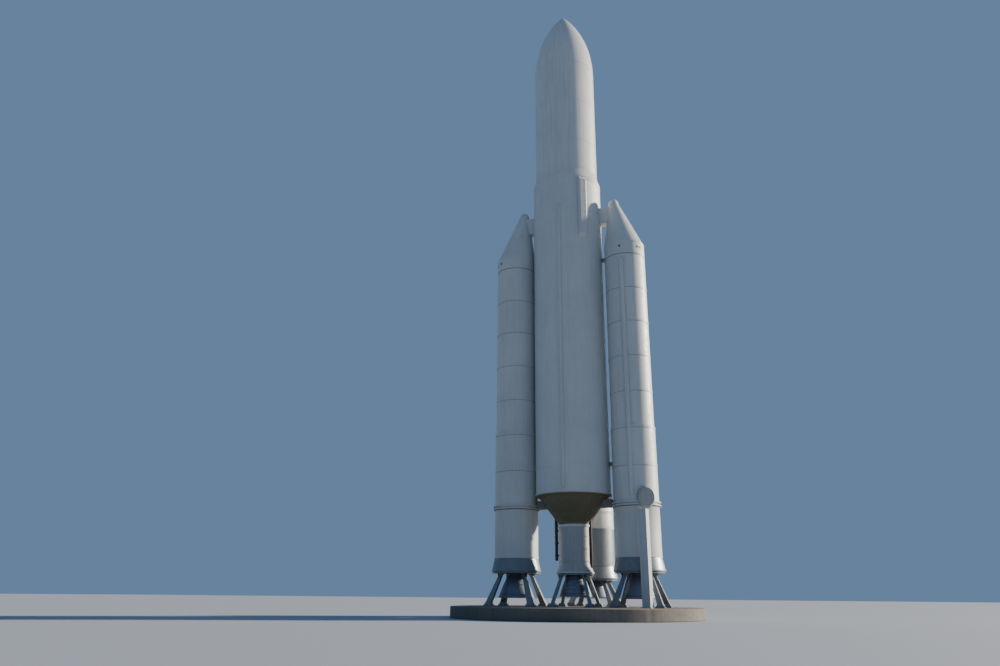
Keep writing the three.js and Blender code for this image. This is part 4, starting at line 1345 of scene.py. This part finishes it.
FAIRING_DOORS = (
    # degrees round from +X, height of the middle, width in degrees, height
    (-70.0, 18.9, 13.0, 0.34),
    (-118.0, 17.6, 9.0, 0.24),
    (60.0, 18.9, 13.0, 0.34),
    (150.0, 17.6, 9.0, 0.24),
)
for index, sizes in enumerate(FAIRING_DOORS):
    door(f"fairing_door_{index + 1}", fairing_paint, FAIRING_RADIUS, *sizes)
fasteners(
    "fairing_vents", ("fairing_white", duct_paint[1]), VENT, FAIRING_RADIUS + 0.001, 17.3, 12,
    start=math.radians(15.0),
)
for side, angle in (("left", math.pi), ("right", 0.0)):
    work = bmesh.new()
    add_loft(work, [
        [
            (radius + out, half, z)
            for out, half in ((-0.006, -0.022), (0.006, -0.022), (0.006, 0.022), (-0.006, 0.022))
        ]
        for radius, z in ((FAIRING_RADIUS, FAIRING_BOTTOM + 0.01), *outer_ogive[:-TIP_STEPS])
    ], Matrix.Rotation(angle, 4, "Z"))
    fit(welded(f"fairing_split_strip_{side}", work), fairing_paint)


# Rear column.
# A length of booster case on a stand of its own, behind the core, that bears the rear strut's load.
# Its base is painted like the skirts and has a closed metal cone under it. The white case has a lid.
COLUMN_CENTRE = (0.0, REAR_Y)
COLUMN_BOTTOM = 1.35
COLUMN_FLARE = 1.8
COLUMN_BASE_TOP = 3.175
COLUMN_TOP = 4.1
COLUMN_CONE_EXIT = 0.675
COLUMN_CONE_RADIUS = 0.575
turned("rear_column_base_shell", [
    (0.0, COLUMN_BOTTOM),
    (SKIRT_RIM, COLUMN_BOTTOM),
    (SKIRT_RIM + 0.008, COLUMN_BOTTOM + 0.008),
    (SKIRT_RIM + 0.008, COLUMN_BOTTOM + 0.04),
    (SKIRT_RIM - 0.012, COLUMN_BOTTOM + 0.045),
    (AFT_RADIUS, COLUMN_FLARE),
    (AFT_RADIUS + 0.012, COLUMN_FLARE + 0.005),
    (AFT_RADIUS + 0.012, COLUMN_FLARE + 0.055),
    (AFT_RADIUS, COLUMN_FLARE + 0.06),
    (AFT_RADIUS, COLUMN_BASE_TOP - GAP),
    (0.0, COLUMN_BASE_TOP - GAP),
], skirt_paint, "rear_column_base", centre=COLUMN_CENTRE)
turned("rear_column_case_shell", [
    (0.0, COLUMN_BASE_TOP),
    (AFT_RADIUS, COLUMN_BASE_TOP),
    (AFT_RADIUS, COLUMN_TOP - 0.04),
    (AFT_RADIUS - 0.012, COLUMN_TOP - 0.012),
    (AFT_RADIUS - 0.04, COLUMN_TOP),
    (0.0, COLUMN_TOP),
], case_paint, "rear_column_case", centre=COLUMN_CENTRE)
for index, z in enumerate((COLUMN_BASE_TOP + 0.05, COLUMN_TOP - 0.3)):
    band = flat_band(
        AFT_RADIUS - BAND_SINK, AFT_RADIUS + BAND_RISE, z - BAND_HEIGHT / 2, z + BAND_HEIGHT / 2,
    )
    turned(f"rear_column_joint_{index + 1}", band, case_paint, centre=COLUMN_CENTRE)
    joint_pins(f"rear_column_pins_{index + 1}", AFT_RADIUS, z, COLUMN_CENTRE)
turned("rear_column_cone_shell", [
    (0.0, COLUMN_CONE_EXIT),
    (COLUMN_CONE_RADIUS - 0.02, COLUMN_CONE_EXIT),
    (COLUMN_CONE_RADIUS, COLUMN_CONE_EXIT + 0.012),
    (COLUMN_CONE_RADIUS, COLUMN_CONE_EXIT + 0.03),
    (COLUMN_CONE_RADIUS - 0.02, COLUMN_CONE_EXIT + 0.045),
    (0.3, COLUMN_BOTTOM - GAP),
    (0.0, COLUMN_BOTTOM - GAP),
], bell_metal, "rear_column_cone", centre=COLUMN_CENTRE)
